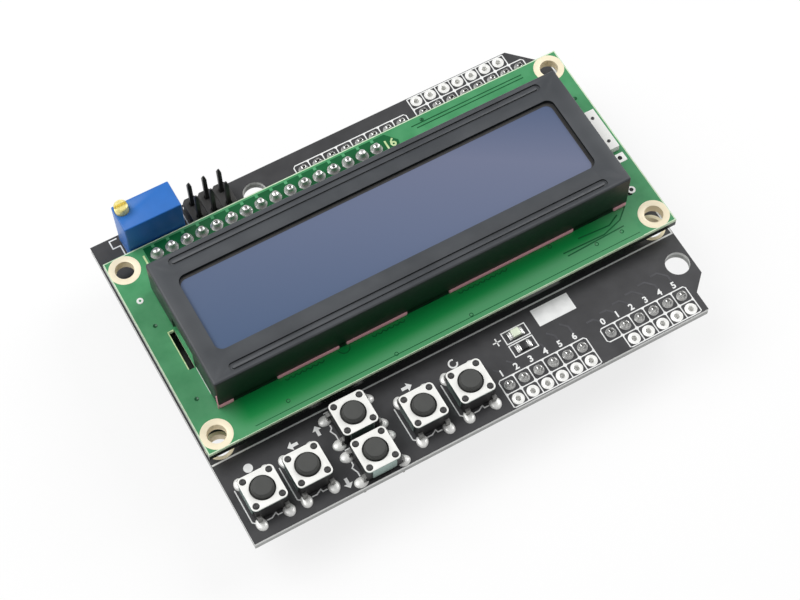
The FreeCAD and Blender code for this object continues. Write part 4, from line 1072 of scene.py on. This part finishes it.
def shell():
    """The folded frame: bent edges, window, two pressed grooves, wall openings, feet and claws."""
    low, high = SHELL_LOW, SHELL_HIGH
    centre_x, centre_y = (low.x + high.x) / 2, (low.y + high.y) / 2
    sheet, bend, lift = 0.6, 0.34, 1.0
    skirt = GREEN_TOP + lift
    body = block((low.x, low.y, skirt - 2.0), (high.x, high.y, high.z), bend, 6)
    inner = block((low.x + sheet, low.y + sheet, skirt - 4.0),
                  (high.x - sheet, high.y - sheet, high.z - sheet), 0.12, 3)
    below = block((low.x - 1, low.y - 1, skirt - 5.0), (high.x + 1, high.y + 1, skirt), 0.01, 1)
    window_x = centre_x - 0.2
    opening = rounded(WINDOW.x, WINDOW.y, WINDOW_LENGTH, WINDOW_DEPTH, WINDOW_CORNER, 8)
    window = plate([opening], high.z - 3, 5)
    cutters = [inner, below, window]
    for y in (low.y + 1.35, high.y - 1.65):
        outer = rounded(window_x, y, 63.6, 1.5, 0.745, 10)
        inner_edge = rounded(window_x, y, 62.6, 0.5, 0.245, 10)
        cutters.append(plate([outer, inner_edge], high.z - 0.3, 2.0, 0.1, 2))
        cutters.append(plate([rounded(window_x, y, 62.8, 0.7, 0.345, 10)], high.z - 0.06, 1.0, 0.02, 1))
    latch_y = centre_y - 0.1
    cutters.append(block((low.x - 1, latch_y - 3.5, skirt - 2),
                         (low.x + 1.2, latch_y + 3.5, GREEN_TOP + 4.2), 0.02, 1))
    tab_y = centre_y + 1.6
    cutters.append(block((high.x - 1.2, tab_y - 4.0, skirt - 2), (high.x + 1, tab_y + 4.0, GREEN_TOP + 1.4),
                         0.02, 1))
    body = carve(body, cutters)
    soften(body, 0.05, 2, 50)
    forms = [body]
    for x in (-29.0, 0.0, 29.0):
        for y, side in ((low.y, -1), (high.y - sheet, 1)):
            forms.append(block((centre_x + x - 3.5, y, GREEN_TOP),
                               (centre_x + x + 3.5, y + sheet, skirt + 0.3), 0.06))
            forms.append(block((centre_x + x - 1.0, y, GREEN_LOW.z - 0.3), (centre_x + x + 1.0, y + sheet,
                               GREEN_TOP + 0.3), 0.04))
            inner_y = y if side < 0 else y + sheet - 1.5
            forms.append(block((centre_x + x - 1.0, inner_y, GREEN_LOW.z - 0.6),
                               (centre_x + x + 1.0, inner_y + 1.5, GREEN_LOW.z), 0.06))
    forms.append(block((centre_x - 15.0, low.y, GREEN_TOP),
                       (centre_x - 14.0, low.y + sheet, skirt + 0.3), 0.06))
    piece("frame_shell", forms, ENAMEL, ("display_frame",))


def window_edge():
    """A black band round the display's viewing area: painted shade where the film lies below the frame's
    window edge, widest at the back and right.
    """
    high = corners("front_film")[1]
    outer, inner = [rounded(WINDOW.x - shift, WINDOW.y - shift, WINDOW_LENGTH - inset, WINDOW_DEPTH - inset,
                            WINDOW_CORNER - inset / 4, 8) for inset, shift in ((0.04, 0.0), (0.56, 0.25))]
    piece("window_edge", plate([outer, inner], high.z - 0.02, 0.05), BLACK)


def left_gap():
    """The pale rim of the slot beside the frame and the guide's white edge under the frame's wall."""
    x = SHELL_LOW.x - 0.9
    y = (SHELL_LOW.y + SHELL_HIGH.y) / 2 - 0.1
    rim = ribbon(((x + 0.8, y + 3.6), (x - 0.1, y + 3.6), (x - 0.1, y - 3.4)), 0.16, GREEN_TOP - 0.05,
                 0.05 + PAINT)
    piece("slot_rim", rim, PALE_PRINT)
    front = corners("backlight_guide")[0].y
    edge = block((SHELL_LOW.x + 0.04, front + 0.2, GREEN_TOP),
                 (SHELL_LOW.x + 0.4, y - 3.7, GREEN_TOP + 0.3), 0.06)
    piece("guide_edge", edge, GUIDE)


def front_rubber():
    """The pink contact strip, whose edge swells out under the frame's front wall between its feet."""
    low, high = corners("front_contact_rubber")
    wall = SHELL_LOW.y
    centre_x = (SHELL_LOW.x + SHELL_HIGH.x) / 2
    forms = [block(low, high, 0.08)]
    feet = [(centre_x + x - 3.5, centre_x + x + 3.5) for x in (-29.0, 0.0, 29.0)]
    feet.insert(1, (centre_x - 15.0, centre_x - 14.0))
    edges = [SHELL_LOW.x + 0.15] + [x for foot in sorted(feet) for x in foot] + [SHELL_HIGH.x - 0.15]
    for first, last in zip(edges[::2], edges[1::2]):
        forms.append(block((first + 0.08, wall - 0.12, low.z),
                           (last - 0.08, low.y + 0.3, low.z + 0.94), 0.2))
    forms.append(block((SHELL_LOW.x - 0.05, wall - 0.05, low.z),
                       (SHELL_LOW.x + 0.12, wall + 0.12, low.z + 4.2), 0.05))
    piece("front_rubber", forms, PINK, ("front_contact_rubber",))


def lamp_tab():
    """Solder points on the backlight's white tab."""
    top = GREEN_TOP + 1.3
    x = corners("backlight_guide")[1].x - 1.0
    y = (SHELL_LOW.y + SHELL_HIGH.y) / 2 + 1.6
    shape = ((0.0, -0.05), (0.3, -0.05), (0.28, 0.06), (0.18, 0.1), (0.0, 0.11))
    points = [lathe([(radius, top + rise) for radius, rise in shape], x, y + shift, 20)
              for shift in (-2.4, 2.4)]
    piece("lamp_tab_solder", points, DARK_TIN)


# ---------------------------------------------------------------- small parts

def chip(name, node, material, dome=0.0):
    """A chip part: body between two wrapped metal ends, with solder at each end."""
    centre = middle(node)
    half, side, end, height = 1.0, 0.625, 0.4, 0.5
    body = block((centre.x - half + end - 0.05, centre.y - side, TOP + 0.02),
                 (centre.x + half - end + 0.05, centre.y + side, TOP + height + dome), 0.05)
    piece(name + "_body", body, material, (node,))
    ends = []
    for sx in (-1, 1):
        for reach, back, wider, low, high in ((half, half - end, 0.0, 0.0, height),
                                              (half + 0.28, half - 0.1, 0.05, -0.02, 0.16)):
            span = sorted((centre.x + sx * reach, centre.x + sx * back))
            ends.append(block((span[0], centre.y - side - wider, TOP + low),
                              (span[1], centre.y + side + wider, TOP + high), 0.07))
    piece(name + "_ends", ends, SOLDER)


def ladder():
    """The row of resistors between the boards."""
    low, high = corners("key_resistors")
    count = 5
    pitch = (high.x - low.x - 2.0) / (count - 1)
    bodies, ends = [], []
    for i in range(count):
        x = low.x + 1.0 + pitch * i
        bodies.append(block((x - 0.65, low.y, TOP + 0.02), (x + 0.65, high.y, high.z), 0.05))
        for first, last in ((x - 1.0, x - 0.6), (x + 0.6, x + 1.0)):
            ends.append(block((first, low.y, TOP), (last, high.y, high.z - 0.01), 0.07))
    piece("ladder_bodies", bodies, CHIP, ("key_resistors",))
    piece("ladder_ends", ends, SOLDER)


def driver_drops():
    """Two drops of black resin under the display board."""
    low, high = corners("driver_blobs")
    radius = (high.y - low.y) / 2
    drops = []
    for x in (low.x + radius, high.x - radius):
        shape = ((0.0, high.z + 0.02), (radius, high.z + 0.02), (radius - 0.05, high.z - 0.25),
                 (radius * 0.9, high.z - 0.6), (radius * 0.72, high.z - 0.9), (radius * 0.4, low.z + 0.08),
                 (0.0, low.z))
        drops.append(lathe(shape, x, (low.y + high.y) / 2, 48))
    piece("driver_drops", drops, RESIN, ("driver_blobs",))


# ---------------------------------------------------------------- trimmer and header

def trimmer_case():
    """The trimmer's blue housing: rounded edges, hollow inside, four feet and the screw's bore."""
    low, high = corners("trimmer_housing")
    wall, roof, foot = 0.5, 1.2, 0.38
    screw = middle("trimmer_screw")
    solid = block((low.x, low.y, low.z + foot), (high.x, high.y, high.z), 0.22, 4)
    hollow = block((low.x + wall, low.y + wall, low.z - 1),
                   (high.x - wall, high.y - wall, high.z - roof), 0.02, 1)
    bore = plate([circle(screw.x, screw.y, 1.145, 48)], high.z - 3, 4)
    case = carve(solid, [hollow, bore])
    soften(case, 0.04, 2, 50)
    feet = [case]
    for x in (low.x + 0.02, high.x - 1.02):
        for y in (low.y + 0.02, high.y - 0.52):
            feet.append(block((x, y, low.z), (x + 1.0, y + 0.5, low.z + foot + 0.2), 0.06))
    piece("trimmer_case", feet, BLUE, ("trimmer_housing",))


def trimmer_screw():
    """The slotted brass screw: chamfered head, lead screw below."""
    low, high = corners("trimmer_screw")
    centre = (low + high) / 2
    radius = (high.x - low.x) / 2
    under = corners("trimmer_housing")[1].z - 1.2
    shape = ((0.0, low.z), (0.6, low.z), (0.6, under), (radius, under), (radius, high.z - 0.22),
             (radius - 0.05, high.z - 0.1), (radius - 0.2, high.z), (0.0, high.z))
    solid = lathe(shape, centre.x, centre.y, 48)
    slot = block((centre.x - 2, centre.y - 0.3, high.z - 0.6),
                 (centre.x + 2, centre.y + 0.3, high.z + 1), 0.02, 1)
    screw = carve(solid, [slot])
    soften(screw, 0.03, 2, 60)
    piece("contrast_screw_head", screw, BRASS, ("trimmer_screw",), "contrast_screw")


def moulded_strip(name, node, rows):
    """A strip of cells with cut corners, in one moulding."""
    low, high = corners(node)
    y = (low.y + high.y) / 2
    cells = []
    for x, _ in grid(node):
        holes = [rounded(x, low.y + PITCH * (j + 0.5), PIN + 0.16, PIN + 0.16, 0.05, 2) for j in range(rows)]
        loop = cut_square(x, y, PITCH / 2, (high.y - low.y) / 2, 0.45)
        cells.append(plate([loop] + holes, low.z, high.z - low.z, 0.1))
    piece(name, cells, BLACK, (node,))


def square_pins(name, node, places, tip_up, material=None):
    """Square pins drawn to a point at the free end."""
    low, high = corners(node)
    half = PIN / 2
    pins = []
    for x, y in places:
        levels = [(low.z, half * 0.55), (low.z + 0.35, half), (high.z - 0.5, half), (high.z, half * 0.55)]
        if tip_up:
            levels = [(low.z, half * 0.8), (low.z + 0.15, half), (high.z - 0.75, half),
                      (high.z, half * 0.35)]
        bm = bmesh.new()
        rings = [[bm.verts.new((x + sx * reach, y + sy * reach, z))
                  for sx, sy in ((-1, -1), (1, -1), (1, 1), (-1, 1))] for z, reach in levels]
        for lower, upper in zip(rings, rings[1:]):
            for i in range(4):
                bm.faces.new((lower[i], lower[(i + 1) % 4], upper[(i + 1) % 4], upper[i]))
        bm.faces.new(rings[0][::-1])
        bm.faces.new(rings[-1])
        bmesh.ops.recalc_face_normals(bm, faces=bm.faces)
        soften(bm, 0.04, 2, 60)
        pins.append(bm)
    piece(name, pins, material or TIN, (node,))


# ---------------------------------------------------------------- the object

def dress_nodes():
    """Nodes of the frame whose shape is right get their finish."""
    for node, material in {
        "carrier_board": DARK_RESIST, "display_board": GREEN_RESIST, "backlight_guide": GUIDE,
        "rear_film": FILM, "rear_glass": GLASS, "front_glass": GLASS, "front_film": FILM,
        "back_contact_rubber": PINK, "backlight_transistor": CHIP,
        "trimmer_floor": CERAMIC, "trimmer_leads": TIN, "trimmer_element": CERAMIC,
        "trimmer_wiper": BLACK, "button_legs": TIN,
    }.items():
        finish_node(node, material)
    for key in KEYS:
        finish_node(key + "_base", KEY_BASE)


def dress():
    """Every piece that the frame lacks or shows too plainly."""
    dress_nodes()
    display_corners()
    spare_pads()
    solder_rows()
    leg_solder()
    fixing_holes()
    green_copper()
    dark_tracks()
    pad_print()
    board_print()
    key_print()
    key_marks()
    pin_numbers()
    display_numbers()
    header_print()
    for key, centre, turned in key_places():
        key_cover(key, centre, turned)
        key_pegs(key, centre)
        snap_dome(key, turned)
        key_cap(key, centre)
    shell()
    window_edge()
    left_gap()
    front_rubber()
    lamp_tab()
    chip("lamp", "power_lamp", LENS, dome=0.25)
    chip("lamp_resistor", "lamp_resistor", CHIP)
    ladder()
    driver_drops()
    trimmer_case()
    trimmer_screw()
    for row in PLUG_ROWS:
        moulded_strip(row + "_strip", row + "_pin_strip", 1)
        square_pins(row + "_plug_pins", row + "_pins", grid(row + "_pin_strip"), False)
    moulded_strip("display_strip", "display_pin_strip", 1)
    square_pins("display_row_pins", "display_pins", grid("display_pin_strip"), False)
    moulded_strip("header_block", "block_pin_strip", 2)
    square_pins("header_pins", "block_pins", grid("block_pin_strip", 2), True, DARK_TIN)


# ---------------------------------------------------------------- floor, light and camera

def floor_material():
    """Pale floor that shows nearly white to the camera, and keeps the shadow."""
    made = bpy.data.materials.new("pale_floor")
    made.use_nodes = True
    nodes = made.node_tree.nodes
    nodes.clear()
    out = add(made, "OutputMaterial")
    matt = add(made, "BsdfDiffuse")
    tone = ramp(made, noise(made, 0.01, 2.0), ((0.3, 0.93), (0.7, 0.96)))
    join(made, tone, matt.inputs["Color"])
    white = add(made, "Emission")
    white.inputs["Strength"].default_value = 1.0
    path = add(made, "LightPath")
    share = add(made, "Math", operation="MULTIPLY")
    share.inputs[1].default_value = 0.8
    join(made, path.outputs["Is Camera Ray"], share.inputs[0])
    mix = add(made, "MixShader")
    join(made, share.outputs["Value"], mix.inputs["Fac"])
    join(made, matt.outputs["BSDF"], mix.inputs[1])
    join(made, white.outputs["Emission"], mix.inputs[2])
    join(made, mix.outputs["Shader"], out.inputs["Surface"])
    return made


def studio():
    """Floor under the pin tips, a pale world and two soft lamps."""
    span = 3.0
    bm = bmesh.new()
    bmesh.ops.create_grid(bm, x_segments=1, y_segments=1, size=span)
    mesh = bpy.data.meshes.new("floor")
    bm.to_mesh(mesh)
    bm.free()
    mesh.materials.append(floor_material())
    floor = bpy.data.objects.new("floor", mesh)
    floor.location.z = CAD_LOW.z - 0.0002
    bpy.context.scene.collection.objects.link(floor)

    world = bpy.data.worlds.new("studio")
    bpy.context.scene.world = world
    world.use_nodes = True
    tree = world.node_tree
    back = tree.nodes["Background"]
    back.inputs["Color"].default_value = (1, 1, 1, 1)
    back.inputs["Strength"].default_value = 0.3
    seen = tree.nodes.new("ShaderNodeBackground")
    seen.inputs["Color"].default_value = (1, 1, 1, 1)
    seen.inputs["Strength"].default_value = 1.0
    path = tree.nodes.new("ShaderNodeLightPath")
    mix = tree.nodes.new("ShaderNodeMixShader")
    tree.links.new(path.outputs["Is Camera Ray"], mix.inputs["Fac"])
    tree.links.new(back.outputs["Background"], mix.inputs[1])
    tree.links.new(seen.outputs["Background"], mix.inputs[2])
    tree.links.new(mix.outputs["Shader"], tree.nodes["World Output"].inputs["Surface"])

    for name, place, size, power in (
        ("overhead", (-0.28, 0.22, 0.50), 0.45, 2.6),
        ("right", (0.45, 0.10, 0.45), 0.35, 1.9),
    ):
        lamp = bpy.data.lights.new(name, "AREA")
        lamp.shape = "SQUARE"
        lamp.size = size
        lamp.energy = power
        holder = bpy.data.objects.new(name, lamp)
        holder.location = place
        holder.rotation_euler = (Vector(place)).to_track_quat("Z", "Y").to_euler()
        bpy.context.scene.collection.objects.link(holder)


def camera():
    """The photograph's viewpoint, fitted to the pads and board corners."""
    eye = bpy.data.cameras.new("camera")
    eye.lens = 87.19
    eye.sensor_width = 36.0
    eye.clip_start = 0.01
    holder = bpy.data.objects.new("camera", eye)
    right = Vector((0.87293, -0.48779, -0.00726))
    up = Vector((0.43458, 0.77077, 0.46589))
    forward = Vector((0.22166, 0.40985, -0.88481))
    turn = Matrix((right, up, -forward)).transposed()
    holder.matrix_world = Matrix.Translation(Vector((-68.068, -124.569, 271.367)) * MM) @ turn.to_4x4()
    bpy.context.scene.collection.objects.link(holder)
    bpy.context.scene.camera = holder


dress()
studio()
camera()
bpy.context.scene.view_settings.view_transform = "Standard"
